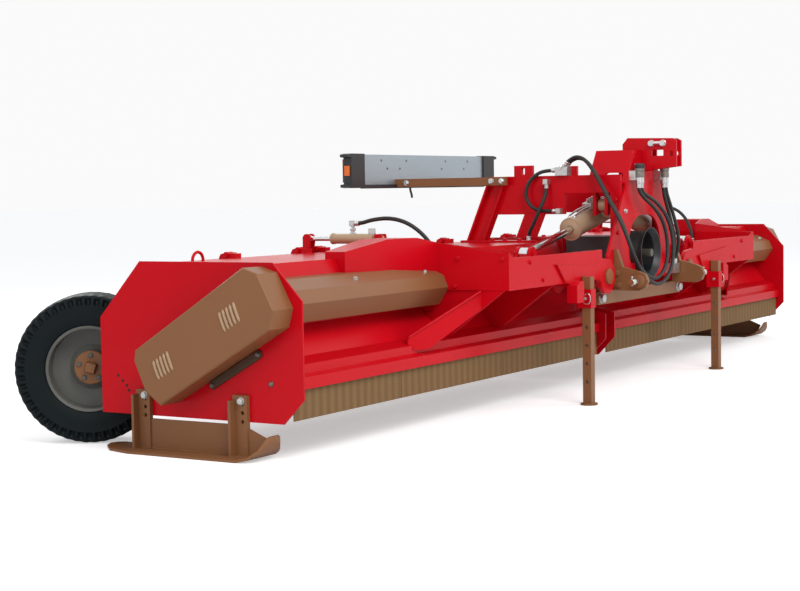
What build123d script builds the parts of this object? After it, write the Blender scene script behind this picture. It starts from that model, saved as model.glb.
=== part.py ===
from build123d import *
import os
from math import cos, hypot, pi, radians, sin, tan

# Folding field mulcher: a centre frame on a three-point hitch and two mirrored wings that fold up.
# X runs across the machine, -Y is the tractor's side, Z is up, all in millimetres.
# Lengths along Y are measured from the middle of the end plates and moved once, on export,
# so that the frame's origin lies under the middle of the whole machine.

# Overall sizes
HALF_WIDTH = 3300
PLATE = 10
SHEET = 8
INNER_FACE = 60
HOOD_TOP = 872
RUNNING = 0.3
FRONT_TIP = -1036

# Fold hinge of a wing
PIVOT_X = 620
PIVOT_Z = 690
PIVOT_FRONT = -820
PIVOT_REAR = -545
PIVOT_TUBE_R = 65
PIN_R = 30
PIN_END = 18
EAR_R = 100
EAR = 25
EAR_GAP = 5

# Carrier arm of a wing
ARM_IN = 700
ARM_BEND = 1838
ARM_CORNER_X = ARM_BEND + 12
ARM_CORNER_Y = -430
ARM_END_Y = -330
ARM_OUT = 2560
ARM_HUMP = 2000
ARM_FRONT = -850
ARM_BACK = -215
ARM_BOTTOM = 680
ARM_DECK = ARM_BOTTOM + 50
ARM_LIP = ARM_BOTTOM + 165
ARM_CREST = ARM_LIP + 110
ARM_SKIN = 12
PANEL_LOW = 440
BRACE = ((ARM_BEND - 6, -690), (2250, -495))
BRACE_TOP = 466
BRACE_LOW = 400
BRACE_RISE = 185
BRACE_FOOT = 110
GUSSETS = (1250, ARM_BEND - 12)
GUSSET = 12
GUSSET_SET_BACK = 30
BELL_R = 62
HOSE_POST_X = 1800
HOSE_POST_Y = -415
HOSE_POST_TOP = 800
HOSE_POST_R = 16

# Rotor
ROTOR_Y = 80
ROTOR_Z = 395
ROTOR_TUBE_R = 85
ROTOR_TIP_R = 255
ROTOR_SHAFT_R = 30
ROTOR_GAP = 6
BOSS_R = 80
BOSS = 30
HAMMER_COUNT = 26
HAMMER_WIDE = 60
HAMMER_TURN = 104
HAMMER_STEM = 20
HAMMER_HEAD = 48
HAMMER_NECK_R = 185

# Road wheel, on a swivelling arm that trails behind its spindle
WHEEL_X = HALF_WIDTH - 130
WHEEL_Y = 757
TYRE_R = 363
TYRE_WIDE = 264
RIM_R = 205
RIM_WALL = 12
RIM_SET_IN = 22
AXLE_R = 25
HUB_R = 85
HUB_OUT = 43
HUB_IN = 75
POCKET_IN = HALF_WIDTH - 600
WHEEL_ARM = 25
WHEEL_ARM_GAP = 6
SWIVEL_TURN = 33
TRAIL = 420
SPINDLE_R = 25
SPINDLE_TOP = 830
SPINDLE_HEAD_R = 36
SPINDLE_HEAD = 14
SWIVEL_TUBE_R = 42
SWIVEL_LOW = 600
SWIVEL_TOP = 810
CRANK_TALL = 58
CRANK_HALF = 32
CRANK_NOSE = 8
CRANK_TAPER = 60
SWIVEL_X = WHEEL_X - TRAIL * sin(radians(SWIVEL_TURN))
SWIVEL_Y = WHEEL_Y - TRAIL * cos(radians(SWIVEL_TURN))

# Rear door
DOOR_PIN_Y = 342
DOOR_PIN_Z = HOOD_TOP + 14
DOOR_PIN_R = 10
DOOR_IN = INNER_FACE + 20
DOOR_OUT = POCKET_IN - 25
DOOR_SHEET = 6
DOOR_BACK = 572
KNUCKLE = 50
KNUCKLE_R = 18
STRAP = 20
STRAP_GAP = 1
LEVER_X = 1880
LEVER_UP = 60
LEVER_R = 26
DOOR_BASE_Y = -110
DOOR_BASE_Z = HOOD_TOP + 73
DOOR_LUG_GAP = 16
DOOR_RAM_PIN_R = 8
DOOR_RAM_R = 27
DOOR_RAM_LONG = 300
DOOR_ROD_LONG = 220
DOOR_EYE_R = 20
DOOR_EYE = 28
DOOR_PIPES = ((60, 1027), (-60, 985))
DOOR_PIPE_R = 9
ELBOW = 28

# Drive line
DRIVE_Y = -430
DRIVE_Z = PIVOT_Z
DRIVE_SHAFT_R = 30
DRIVE_BALL_R = 46
PTO_Z = 800
PTO_R = 22.2
PTO_TIP = -860
PTO_GUARD_R = 132
PTO_FLARE_R = 153
PTO_GUARD_WALL = 6
PTO_HOLE_Z = 843
PTO_HOLE_R = 184
PTO_HOLE_HALF = 240
GEARBOX_HALF = 140
GEARBOX_FRONT = -690
GEARBOX_TOP = 900
GUARD_IN = ARM_BEND

# Belt cover
COVER_DEEP = 150
COVER_EDGE = 6
LOUVRES = ((85, 423), (-297, 654))
LOUVRE_COUNT = 5
LOUVRE_STEP = 23
LOUVRE_LONG = 90
LOUVRE_WIDE = 8
LOUVRE_DEEP = 6

# Skid
SKID_IN = HALF_WIDTH - 100
SKID_OUT = SKID_IN + 237
SKID_SHEET = 12
SKID_WEB = 14
SKID_WEB_TOP = 152
SKID_WEB_TIP = (-395, 92)
SKID_POSTS = (-247, 316)
SKID_POST_HALF = 40
SKID_POST_TOP = 288
SKID_POST = 22
SKID_FLANGE = 60
SKID_HOLE_R = 9

# Front flaps
FLAP_ROD_Y = -515
FLAP_ROD_Z = 346
FLAP_ROD_R = 10
FLAP_SLITS = (1296, 2371)
FLAP_SLIT = 4
FLAP = 8
FLAP_LOW = 180

# Parking leg
LEG_X = 985
LEG = 50
LEG_TOP = 708
LEG_HOLES = (130, 230, 330, 430)
LEG_HOLE_R = 9
SLEEVE_WALL = 6
SLEEVE_LOW = 537
SLEEVE_TOP = 640
SLEEVE_PLATE = 12
SLEEVE_PLATE_HALF = 60
SLEEVE_PLATE_TOP = 760
FOOT_R = 48
FOOT = 10
LEG_OUTER = LEG + 2 * (SLEEVE_WALL + RUNNING)
LEG_Y = ARM_FRONT - SLEEVE_PLATE - LEG_OUTER / 2

# Centre frame
FRAME_X = 300
FRAME_PLATE = 25
FRONT_PLATE_Y = -800
FRONT_PLATE = 15
PLATE_FRONT = FRONT_PLATE_Y - FRONT_PLATE
FRONT_PLATE_HALF = 545
FRONT_PLATE_KNEE = 800
BEAM_LOW = 645
BEAM_TOP = 745
BEAM_LAP = 40
FRAME_TOP = 1270
FRAME_UNDER = 1040
COLUMN_BACK = -735
NOTCH_BACK = -440
NOTCH_TOP = 1165
STRUT_TOP = 45
STRUT_FOOT_BACK = 212
STRUT_FOOT_FRONT = 90
STRUT_FLANGE = 12
STRUT_FLANGE_WIDE = 40
FOOT_GAP = 0.5
FOOT_RAIL = 12
FOOT_RAIL_FRONT = -245
FOOT_RAIL_BACK = 240
FOOT_RAIL_WIDE = 60
LOCK_PLATE = (-228, -105)
LOCK_TALL = 64
LOCK_HOLE_R = 11
LOCK_HOLE_RISE = 30
TOWER_HALF = 130
TOWER_TOP = 1415
TOWER_SHOULDER_X = 380
TOWER_SHOULDER_Z = 1050
TOWER_PLATE = 24
TOWER_BACK = -560
TOWER_ROOF = 12
TOWER_DECK_Z = 1230
OVAL_Y = -718
OVAL_Z = 1258
OVAL_R = 22
OVAL_HALF = 38
BRACKET_OUT = 458
BRACKET = 30
BRACKET_LOW = 600
BRACKET_TOP = 835
LINK_SHOULDER = 482.5
LINK_COLLAR_R = 38
LINK_EAR_R = 55
LINK_Y = -970
LINK_Z = 655
LINK_PIN_R = 18.3
LINK_PIN = 95
TOP_LINK_Y = -1003
TOP_LINK_Z = 1390
TOP_LINK_R = 16
CLEVIS_GAP = 30
CLEVIS = 15
CLEVIS_TOP = TOWER_TOP + 73
CLEVIS_BACK = -694
CLEVIS_LOW = 1290
WINDOW = (-955, -880)
WINDOW_Z = 1396
WINDOW_TALL = 36
CROSS_BAR_HALF = 620
CROSS_BAR_LOW = 525
CROSS_BAR_TALL = 75
CROSS_BAR_FRONT = -790
CROSS_BAR = 40
HANGER_X = 500
HANGER = 40
HANGER_DEEP = 15

# Fold cylinders: one crosses the tower behind the other
EYE_X = 1000
EYE_Z = ARM_DECK + 100
BASE_X = 240
BASE_Z = 1090
CYLINDER_Y = {"left": -520, "right": -660}
BARREL_R = 62
BARREL_WALL = 12
PISTON_GAP = 0.5
ROD_R = 22
BARREL_LONG = 674
ROD_LONG = 630
CYLINDER_EYE_R = 38
CYLINDER_EYE = 50
CYLINDER_PIN_R = 20
LUG = 20
LUG_GAP = 3
LUG_R = 42
LUG_TOP = NOTCH_TOP + 45
PIN_HEAD_R = 24
PIN_HEAD = 14

# Light bar
BAR_Y = 700
BAR_SHEET = 14
BAR_LOW = 1220
BAR_TALL = 200
BAR_HALF = 760
CAP_LONG = 150
CAP_FRONT = 12
CAP_BACK = 45
CAP_LIP = 4
LAMP_DEEP = 12
TAIL_LAMP_DEEP = 15
LAMP_LOW = 70
LAMP_TALL = 60
TAIL_LAMP_EDGE = 30
BAR_ARM = 20
BAR_ARM_FRONT = -80
BAR_ARM_LOW = 1218
BAR_ARM_TALL = 50

# Hydraulic couplings on the tower: their blocks as (x, y, z) of two corners
COUPLER_FRONT = -855
COUPLER_BLOCKS = (
    ((-232, COUPLER_FRONT, 1235), (-128, PLATE_FRONT, 1290)),
    ((148, COUPLER_FRONT, 1235), (252, PLATE_FRONT, 1290)),
    ((-350, -470, FRAME_TOP), (-290, -390, FRAME_TOP + 50)),
    ((325, -870, 660), (418, PLATE_FRONT, 720)),
    ((-372, -350, 1220), (-FRAME_X - FRAME_PLATE, -320, 1250)),
    ((-372, -430, 1045), (-FRAME_X - FRAME_PLATE, -405, 1075)),
)
COUPLERS_X = (-200, -160, 180, 220)
COUPLER_Y = -862
COUPLER_R = 17
COUPLER_LOW = 1215
COUPLER_TOP = 1305

# Hoses: the points of each, in order from the end that it leaves
HOSE_R = 11
HOSES = {
    "tower_hose_inner": (
        (-310, -452, 1330), (-313, -495, 1372), (-327, -575, 1368), (-355, -655, 1287),
        (-395, -760, 1130), (-412, -858, 980), (-397, -900, 830), (-300, -920, 700),
        (-100, -930, 635), (65, -930, 720), (105, -920, 870), (55, -910, 995),
        (-50, -893, 1078), (-135, -878, 1122), (-182, -866, 1158), (-200, -862, 1190), (-200, -862, 1215),
    ),
    "tower_hose_outer": (
        (-338, -452, 1333), (-342, -495, 1378), (-358, -578, 1376), (-386, -660, 1295),
        (-425, -765, 1135), (-441, -862, 985), (-430, -915, 830), (-330, -945, 675),
        (-110, -955, 600), (95, -955, 700), (135, -945, 870), (85, -930, 1010),
        (-20, -905, 1100), (-100, -880, 1138), (-145, -866, 1163), (-160, -862, 1191), (-160, -862, 1215),
    ),
    "drop_hose_inner": (
        (180, -862, 1215), (180, -862, 1170), (192, -872, 1105), (235, -885, 1000),
        (300, -887, 880), (341, -866, 800), (352, -848, 755), (352, -848, 720),
    ),
    "drop_hose_outer": (
        (220, -862, 1215), (220, -862, 1170), (241, -875, 1105), (295, -890, 990),
        (355, -892, 870), (388, -868, 795), (395, -848, 752), (395, -848, 720),
    ),
    "arch_hose_loop": (
        (-336, -390, 1302), (-336, -350, 1302), (-348, -285, 1292), (-362, -222, 1240), (-366, -198, 1160),
        (-366, -228, 1092), (-365, -287, 1062), (-361, -348, 1060), (-361, -405, 1060),
    ),
    "arch_hose_drop": (
        (-352, -335, 1220), (-352, -335, 1180), (-372, -328, 1130), (-397, -305, 1060), (-396, -268, 985),
        (-384, -236, 940), (-373, -223, 912), (-373, -223, HOOD_TOP + FOOT_GAP + FOOT_RAIL),
    ),
}
DOOR_HOSE = (
    (1880, 46, 1027), (1880, 6, 1027), (1880, -60, 1046), (1875, -170, 1056), (1868, -275, 1030),
    (1840, -355, 965), (1812, -401, 885), (1800, -415, 836), (1800, -415, 800),
)

# Outlines as (y, z)
END_PLATE = ((336, 888), (-426, 888), (-584, 718), (-584, 278), (-474, 165), (584, 165), (584, 620))
INNER_PLATE = (
    (336, 888), (-290, 888), (-345, 590), (-470, 455), (-584, 430), (-584, 278), (-474, 165),
    (584, 165), (584, 620),
)
HOOD_FOLDS = (
    (-545, 318), (-545, 372), (-505, 384), (-505, 424), (-440, 452), (-335, 585), (-300, 800),
    (-275, HOOD_TOP), (DOOR_PIN_Y - 22, HOOD_TOP),
)
COVER = ((-370, 871), (-453, 845), (-537, 687), (-513, 601), (109, 237), (197, 299), (258, 437), (251, 485))
GUARD = ((-290, 806), (-380, 800), (-474, 757), (-500, 695), (-440, 605), (-290, 605))
RUNNER = ((620, 0), (-300, 0), (-362, 14), (-408, 46), (-432, 88), (-440, 112))
# Outline of the runner from above as (distance from its inner edge, y)
RUNNER_PLAN = (
    (0, 530), (20, 562), (60, 575), (120, 545), (200, 460), (237, 330),
    (237, -320), (222, -388), (180, -424), (120, -437), (60, -424), (15, -385), (0, -310),
)


def yz_prism(points, x0, x1):
    """A plate or bar whose outline is given as (y, z), from x0 to x1."""
    outline = Polyline(*[(x0, y, z) for y, z in points], close=True)
    return extrude(make_face(outline), amount=x1 - x0, dir=(1, 0, 0))


def xz_prism(points, y0, y1):
    """A plate or bar whose outline is given as (x, z), from y0 to y1."""
    outline = Polyline(*[(x, y0, z) for x, z in points], close=True)
    return extrude(make_face(outline), amount=y1 - y0, dir=(0, 1, 0))


def xy_prism(points, z0, z1):
    """A plate or bar whose outline is given as (x, y), from z0 to z1."""
    outline = Polyline(*[(x, y, z0) for x, y in points], close=True)
    return extrude(make_face(outline), amount=z1 - z0, dir=(0, 0, 1))


def block(x0, x1, y0, y1, z0, z1):
    """A square-cornered block between two corners."""
    return Pos((x0 + x1) / 2, (y0 + y1) / 2, (z0 + z1) / 2) * Box(x1 - x0, y1 - y0, z1 - z0)


def bar_x(y, z, r, x0, x1):
    """A round bar across the machine."""
    return Pos((x0 + x1) / 2, y, z) * Rot(0, 90, 0) * Cylinder(r, x1 - x0)


def bar_y(x, z, r, y0, y1):
    """A round bar along the machine."""
    return Pos(x, (y0 + y1) / 2, z) * Rot(90, 0, 0) * Cylinder(r, y1 - y0)


def bar_z(x, y, r, z0, z1):
    """An upright round bar."""
    return Pos(x, y, (z0 + z1) / 2) * Cylinder(r, z1 - z0)


def oval_x(y, z, r, half_y, half_z, x0, x1):
    """A round-ended bar across the machine, with straight sides of twice half_y or half_z."""
    ends = bar_x(y - half_y, z - half_z, r, x0, x1) + bar_x(y + half_y, z + half_z, r, x0, x1)
    wide, tall = (half_y, r) if half_y > half_z else (r, half_z)
    return ends + block(x0, x1, y - wide, y + wide, z - tall, z + tall)


def folded(points, thickness):
    """The outline of a folded sheet: its outer fold line, then the same line moved to its right."""
    moved = []
    for i, (y, z) in enumerate(points):
        ways = []
        for a, b in ((i - 1, i), (i, i + 1)):
            if 0 <= a and b < len(points):
                dy, dz = points[b][0] - points[a][0], points[b][1] - points[a][1]
                ways.append((dz / hypot(dy, dz), -dy / hypot(dy, dz)))
        ny, nz = (sum(w[k] for w in ways) for k in (0, 1))
        grow = thickness / (ny * ways[0][0] + nz * ways[0][1])
        moved.append((y + ny * grow, z + nz * grow))
    return list(points) + moved[::-1]


def along(start, end, pin_axis):
    """The place of a piece drawn along its own X from one pin to another, with its pins along its own Z."""
    way = Vector(*end) - Vector(*start)
    return Plane(origin=start, x_dir=way, z_dir=pin_axis).location


def ram_barrel(r, bore, length, eye_r, eye_wide, pin_r):
    """A ram's barrel along X from the middle of its base eye."""
    tube_from = eye_r * 1.8
    tube = Pos((length + tube_from) / 2, 0, 0) * Rot(0, 90, 0) * Cylinder(r, length - tube_from)
    gland = Pos(length - r / 4, 0, 0) * Rot(0, 90, 0) * Cylinder(r * 1.1, r / 2)
    eye = Cylinder(eye_r, eye_wide) + Pos(tube_from / 2, 0, 0) * Box(tube_from, eye_r * 1.5, eye_wide)
    hollow_from = tube_from + r / 3
    hollow_long = length - hollow_from + 1
    hollow = Pos((hollow_from + length) / 2, 0, 0) * Rot(0, 90, 0) * Cylinder(bore, hollow_long)
    return tube + gland + eye - hollow - Cylinder(pin_r, eye_wide)


def ram_rod(r, piston, length, reach, eye_r, eye_wide, pin_r):
    """A ram's rod along X, ending in an eye at reach, with its piston at the other end."""
    shaft = Pos(reach - length / 2, 0, 0) * Rot(0, 90, 0) * Cylinder(r, length)
    head = Pos(reach - length + r / 2, 0, 0) * Rot(0, 90, 0) * Cylinder(piston, r)
    eye = Pos(reach, 0, 0) * Cylinder(eye_r, eye_wide)
    return shaft + head + eye - Pos(reach, 0, 0) * Cylinder(pin_r, eye_wide)


def tyre_wall():
    """Half of the tyre's section as (radius, distance from its middle), from the rim to the crown."""
    half = TYRE_WIDE / 2
    return ((RIM_R, half - RIM_SET_IN), (RIM_R + 55, half), (TYRE_R - 62, half), (TYRE_R - 10, half - 14),
            (TYRE_R, half - 40))


def swivelled(shape):
    """A piece of the wheel, drawn straight behind its spindle, turned to where the machine is parked."""
    return Pos(WHEEL_X, WHEEL_Y, 0) * Rot(0, 0, -SWIVEL_TURN) * Pos(-WHEEL_X, -WHEEL_Y, 0) * shape


def frame_shift():
    """How far all pieces move along Y, so that the origin lies midway between hitch and tyre."""
    turn = radians(SWIVEL_TURN)
    rear = WHEEL_Y + max(r * cos(turn) + x * sin(turn) for r, x in tyre_wall())
    return -(FRONT_TIP + rear) / 2


def save(name, shape):
    """Moves a finished piece to the frame's origin and writes it."""
    shape = Pos(0, frame_shift(), 0) * shape
    export_step(shape, f"parts/{name}.step")


def hood_envelope():
    """The space that the hood closes off, to trim what stands against it."""
    closed = list(HOOD_FOLDS) + [(HOOD_FOLDS[-1][0], HOOD_FOLDS[0][1])]
    return yz_prism(closed, INNER_FACE, HALF_WIDTH)


def make_hood():
    """Folded hood with a rear wall in front of the wheel, its swivel tube, and a cheek towards the door."""
    inner_x, outer_x = INNER_FACE + PLATE, HALF_WIDTH - PLATE
    shell = yz_prism(folded(HOOD_FOLDS, SHEET), inner_x, outer_x)
    roof_end = HOOD_FOLDS[-1][0]
    wall_y = roof_end + SHEET + 24
    wall = block(POCKET_IN, outer_x, wall_y - SHEET, wall_y, 250, HOOD_TOP)
    roof = block(POCKET_IN, outer_x, roof_end - SHEET, wall_y, HOOD_TOP - SHEET, HOOD_TOP)
    cheek_front = wall_y - SHEET
    cheek_outline = ((cheek_front, HOOD_TOP), (cheek_front, 200), (575, 200), (575, 616),
                     (wall_y + PLATE, HOOD_TOP))
    cheek = yz_prism(cheek_outline, POCKET_IN - PLATE, POCKET_IN)
    lug_outline = ((DOOR_BASE_Y - 45, HOOD_TOP), (DOOR_BASE_Y + 28, HOOD_TOP),
                   (DOOR_BASE_Y + 20, DOOR_BASE_Z + 26), (DOOR_BASE_Y - 22, DOOR_BASE_Z + 26))
    lug = yz_prism(lug_outline, 0, PLATE)
    lugs = [Pos(LEVER_X + x, 0, 0) * lug for x in (-PLATE - DOOR_LUG_GAP, DOOR_LUG_GAP)]
    lug_pin_r = DOOR_RAM_PIN_R - RUNNING
    lugs.append(bar_x(DOOR_BASE_Y, DOOR_BASE_Z, lug_pin_r, LEVER_X - DOOR_LUG_GAP, LEVER_X + DOOR_LUG_GAP))
    knuckles = []
    for x in door_hinges():
        x0, x1 = x - KNUCKLE / 2, x + KNUCKLE / 2
        knuckle = bar_x(DOOR_PIN_Y, DOOR_PIN_Z, KNUCKLE_R, x0, x1)
        knuckle += block(x0, x1, DOOR_PIN_Y - 60, DOOR_PIN_Y - 8, HOOD_TOP, DOOR_PIN_Z + 10)
        knuckles.append(knuckle - bar_x(DOOR_PIN_Y, DOOR_PIN_Z, DOOR_PIN_R + RUNNING, x0, x1))
    tube = bar_z(SWIVEL_X, SWIVEL_Y, SWIVEL_TUBE_R, SWIVEL_LOW, SWIVEL_TOP)
    tube_in = SWIVEL_X - SWIVEL_TUBE_R
    tube_out = SWIVEL_X + SWIVEL_TUBE_R
    tube += block(tube_in, tube_out, wall_y, SWIVEL_Y, SWIVEL_LOW, SWIVEL_TOP)
    tube -= bar_z(SWIVEL_X, SWIVEL_Y, SPINDLE_R + RUNNING, SWIVEL_LOW, SWIVEL_TOP)
    return shell + wall + roof + cheek + lugs + knuckles + tube


def door_hinges():
    """Where the door's hinges stand along the hood: near both ends and beside the ram's lever."""
    return DOOR_IN + 340, LEVER_X - 90, LEVER_X + 90, DOOR_OUT - 75


def make_end_plates():
    """Outer and inner end plates with the rotor's bearing bosses."""
    plates = []
    outer_x = HALF_WIDTH - PLATE
    bore = ROTOR_SHAFT_R + RUNNING
    for outline, x0, boss_x in ((INNER_PLATE, INNER_FACE, INNER_FACE + PLATE),
                                (END_PLATE, outer_x, outer_x - BOSS)):
        plate = yz_prism(outline, x0, x0 + PLATE) + bar_x(ROTOR_Y, ROTOR_Z, BOSS_R, boss_x, boss_x + BOSS)
        plates.append(plate - bar_x(ROTOR_Y, ROTOR_Z, bore, x0 - BOSS, x0 + PLATE + BOSS))
    return plates[0] + plates[1]


def make_arm(envelope):
    """Carrier arm: a low box with a raised front lip, end plate and brace, two ears and the hinge pin."""
    front = ((ARM_IN, ARM_FRONT), (ARM_BEND, ARM_FRONT), (ARM_CORNER_X, ARM_CORNER_Y), (ARM_OUT, ARM_END_Y))
    back = ((ARM_OUT, ARM_BACK), (ARM_IN, ARM_BACK))
    crest = ((ARM_IN, ARM_BOTTOM), (ARM_IN, ARM_LIP), (ARM_BEND - 60, ARM_LIP), (ARM_BEND, ARM_LIP + 28),
             (ARM_CORNER_X, ARM_CREST - 27), (ARM_HUMP, ARM_CREST), (ARM_OUT - 330, ARM_CREST),
             (ARM_OUT, ARM_CREST - 50), (ARM_OUT, ARM_BOTTOM))
    deck = xy_prism(front + back, ARM_BOTTOM, ARM_DECK)
    lip_line = folded(front[::-1], ARM_SKIN)
    lip = xy_prism(lip_line, ARM_BOTTOM, ARM_CREST)
    low_front, low_back = 2 * ARM_FRONT, 0
    low_deck = block(0, ARM_HUMP, low_front, low_back, 0, ARM_CREST)
    hump = xy_prism(front + back, ARM_BOTTOM, ARM_CREST) - low_deck
    box = (deck + lip + hump) & xz_prism(crest, low_front, low_back)
    (in_x, in_y), (out_x, out_y) = BRACE
    drop = ((in_x, ARM_BOTTOM), (out_x, BRACE_TOP), (out_x, BRACE_LOW), (out_x - BRACE_FOOT, BRACE_LOW),
            (in_x, BRACE_LOW + BRACE_RISE))
    brace_line = ((in_x, in_y), (out_x, out_y), (out_x, out_y + ARM_SKIN), (in_x, in_y + ARM_SKIN))
    brace = xy_prism(brace_line, BRACE_LOW, ARM_BOTTOM) & xz_prism(drop, low_front, low_back)
    arm = (box + brace) - envelope
    ears = []
    for y0 in (ARM_FRONT, PIVOT_REAR + EAR_GAP):
        web = xz_prism(((PIVOT_X, PIVOT_Z + EAR_R), (ARM_IN + 40, ARM_LIP - 45), (ARM_IN + 40, ARM_BOTTOM),
                        (PIVOT_X, PIVOT_Z - EAR_R)), y0, y0 + EAR)
        ears.append(bar_y(PIVOT_X, PIVOT_Z, EAR_R, y0, y0 + EAR) + web)
    pin = bar_y(PIVOT_X, PIVOT_Z, PIN_R, ARM_FRONT - PIN_END, PIVOT_REAR + EAR_GAP + EAR)
    ribs = []
    for x in GUSSETS:
        rib_outline = ((ARM_FRONT + GUSSET_SET_BACK, ARM_BOTTOM), (-300, ARM_BOTTOM), (-300, PANEL_LOW),
                       (-490, PANEL_LOW))
        ribs.append(yz_prism(rib_outline, x, x + GUSSET) - envelope)
    bell = bar_x(DRIVE_Y, DRIVE_Z, BELL_R, PIVOT_X + 60, ARM_IN + 20)
    post = bar_z(HOSE_POST_X, HOSE_POST_Y, HOSE_POST_R, ARM_DECK, HOSE_POST_TOP)
    return arm + ears + pin + ribs + bell + post


def make_ram_lugs(ram_y):
    """Two lugs on the arm's deck beside the fold ram's eye, with the heads of its pin."""
    lugs = []
    half_gap = CYLINDER_EYE / 2 + LUG_GAP
    for y0, head_y in ((ram_y - half_gap - LUG, ram_y - half_gap - LUG - PIN_HEAD),
                       (ram_y + half_gap, ram_y + half_gap + LUG)):
        outline = ((EYE_X - 80, ARM_DECK), (EYE_X + 80, ARM_DECK), (EYE_X + LUG_R - 2, EYE_Z),
                   (EYE_X - LUG_R + 2, EYE_Z))
        lug = xz_prism(outline, y0, y0 + LUG) + bar_y(EYE_X, EYE_Z, LUG_R, y0, y0 + LUG)
        lugs.append(lug + bar_y(EYE_X, EYE_Z, PIN_HEAD_R, head_y, head_y + PIN_HEAD))
    return lugs


def make_guard(envelope, arm):
    """Faceted guard over the drive shaft, from the arm to the end plate."""
    guard = yz_prism(GUARD, GUARD_IN, HALF_WIDTH - PLATE) - envelope - arm
    return guard.solids().sort_by(SortBy.VOLUME)[-1]


def make_cover():
    """Belt cover with softened outer edges and two groups of louvre slots."""
    cover = yz_prism(COVER, HALF_WIDTH, HALF_WIDTH + COVER_DEEP)
    rim = cover.faces().sort_by(Axis.X)[-1].edges()
    cover = chamfer(rim, COVER_EDGE)
    for group_y, group_z in LOUVRES:
        for k in range(LOUVRE_COUNT):
            step = (k - (LOUVRE_COUNT - 1) / 2) * LOUVRE_STEP
            place = Pos(HALF_WIDTH + COVER_DEEP, group_y + step * 0.86, group_z - step * 0.51)
            cover -= place * Rot(68, 0, 0) * Box(2 * LOUVRE_DEEP, LOUVRE_LONG, LOUVRE_WIDE)
    return cover


def make_skid():
    """Skid shoe: a wide runner bent up in front and rounded behind, a web and two drilled angle posts."""
    runner = yz_prism(folded(RUNNER, SKID_SHEET), SKID_IN, SKID_OUT)
    runner &= xy_prism([(SKID_IN + x, y) for x, y in RUNNER_PLAN], 0, SKID_POST_TOP)
    web_x = HALF_WIDTH + SKID_WEB
    web_outline = ((SKID_POSTS[1], SKID_SHEET), (SKID_POSTS[1], SKID_WEB_TOP), (SKID_POSTS[0], SKID_WEB_TOP),
                   SKID_WEB_TIP, (RUNNER[2][0], RUNNER[2][1] + SKID_SHEET), (RUNNER[1][0], SKID_SHEET))
    web = yz_prism(web_outline, HALF_WIDTH, web_x)
    skid = runner + web
    for y in SKID_POSTS:
        skid += block(HALF_WIDTH, HALF_WIDTH + SKID_POST, y - SKID_POST_HALF, y + SKID_POST_HALF,
                      SKID_SHEET, SKID_POST_TOP)
        flange_y = y + SKID_POST_HALF - SKID_WEB
        skid += block(HALF_WIDTH, HALF_WIDTH + SKID_FLANGE, flange_y, flange_y + SKID_WEB, SKID_SHEET,
                      SKID_POST_TOP - SKID_POST)
    for y in SKID_POSTS:
        for step in (1, 2, 3):
            hole_z = SKID_POST_TOP - step * SKID_POST_HALF
            skid -= bar_x(y - SKID_WEB, hole_z, SKID_HOLE_R, HALF_WIDTH, HALF_WIDTH + SKID_POST)
    return skid


def make_wheel_arm():
    """Swivelling wheel arm: a headed spindle, a crank below its tube, a flat arm and the wheel's axle."""
    spindle_y = WHEEL_Y - TRAIL
    crank_top = SWIVEL_LOW - RUNNING
    crank_low = crank_top - CRANK_TALL
    arm_out = WHEEL_X - TYRE_WIDE / 2 - WHEEL_ARM_GAP
    arm_in = arm_out - WHEEL_ARM
    spindle = bar_z(WHEEL_X, spindle_y, SPINDLE_R, crank_low, SPINDLE_TOP)
    head_low = SWIVEL_TOP + RUNNING
    spindle += bar_z(WHEEL_X, spindle_y, SPINDLE_HEAD_R, head_low, head_low + SPINDLE_HEAD)
    crank_plan = ((arm_in, spindle_y + CRANK_HALF), (arm_in, spindle_y - CRANK_NOSE),
                  (arm_in + CRANK_TAPER, spindle_y - CRANK_HALF), (WHEEL_X, spindle_y - CRANK_HALF),
                  (WHEEL_X, spindle_y + CRANK_HALF))
    crank = xy_prism(crank_plan, crank_low, crank_top)
    crank += bar_z(WHEEL_X, spindle_y, CRANK_HALF, crank_low, crank_top)
    outline = ((spindle_y - CRANK_NOSE, crank_top), (spindle_y + CRANK_HALF, crank_top),
               (WHEEL_Y + 45, TYRE_R + 40), (WHEEL_Y + 45, TYRE_R - 45), (WHEEL_Y - 40, TYRE_R - 60),
               (spindle_y - CRANK_NOSE, crank_low))
    flat = yz_prism(outline, arm_in, arm_out)
    axle = bar_x(WHEEL_Y, TYRE_R, AXLE_R, arm_out, WHEEL_X + HUB_OUT)
    return swivelled(spindle + crank + flat + axle)


def make_tyre():
    """Tyre with a flat crown and square shoulders, turned about the axle."""
    wall = tyre_wall()
    section = [(r, -x) for r, x in wall] + [(r, x) for r, x in wall[::-1]]
    face = make_face(Polyline(*[(x, 0, r) for r, x in section], close=True))
    return swivelled(Pos(WHEEL_X, WHEEL_Y, TYRE_R) * revolve(face, Axis.X))


def make_rim():
    """Deep rim, dished wheel disc and hub in one turned piece."""
    edge = TYRE_WIDE / 2 - RIM_SET_IN
    inside = RIM_R - RIM_WALL
    bore = AXLE_R + RUNNING
    # columns: radius, distance outwards from the wheel's middle
    wall = ((RIM_R, -edge), (RIM_R, edge), (inside, edge), (inside, RIM_WALL), (HUB_R + 25, 0),
            (HUB_R, RIM_WALL), (HUB_R, HUB_OUT), (bore, HUB_OUT), (bore, -HUB_IN), (HUB_R - 25, -HUB_IN),
            (HUB_R - 25, -RIM_WALL), (HUB_R + 25, -RIM_WALL), (inside, -RIM_WALL / 2), (inside, -edge))
    face = make_face(Polyline(*[(x, 0, r) for r, x in wall], close=True))
    return swivelled(Pos(WHEEL_X, WHEEL_Y, TYRE_R) * revolve(face, Axis.X))


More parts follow.
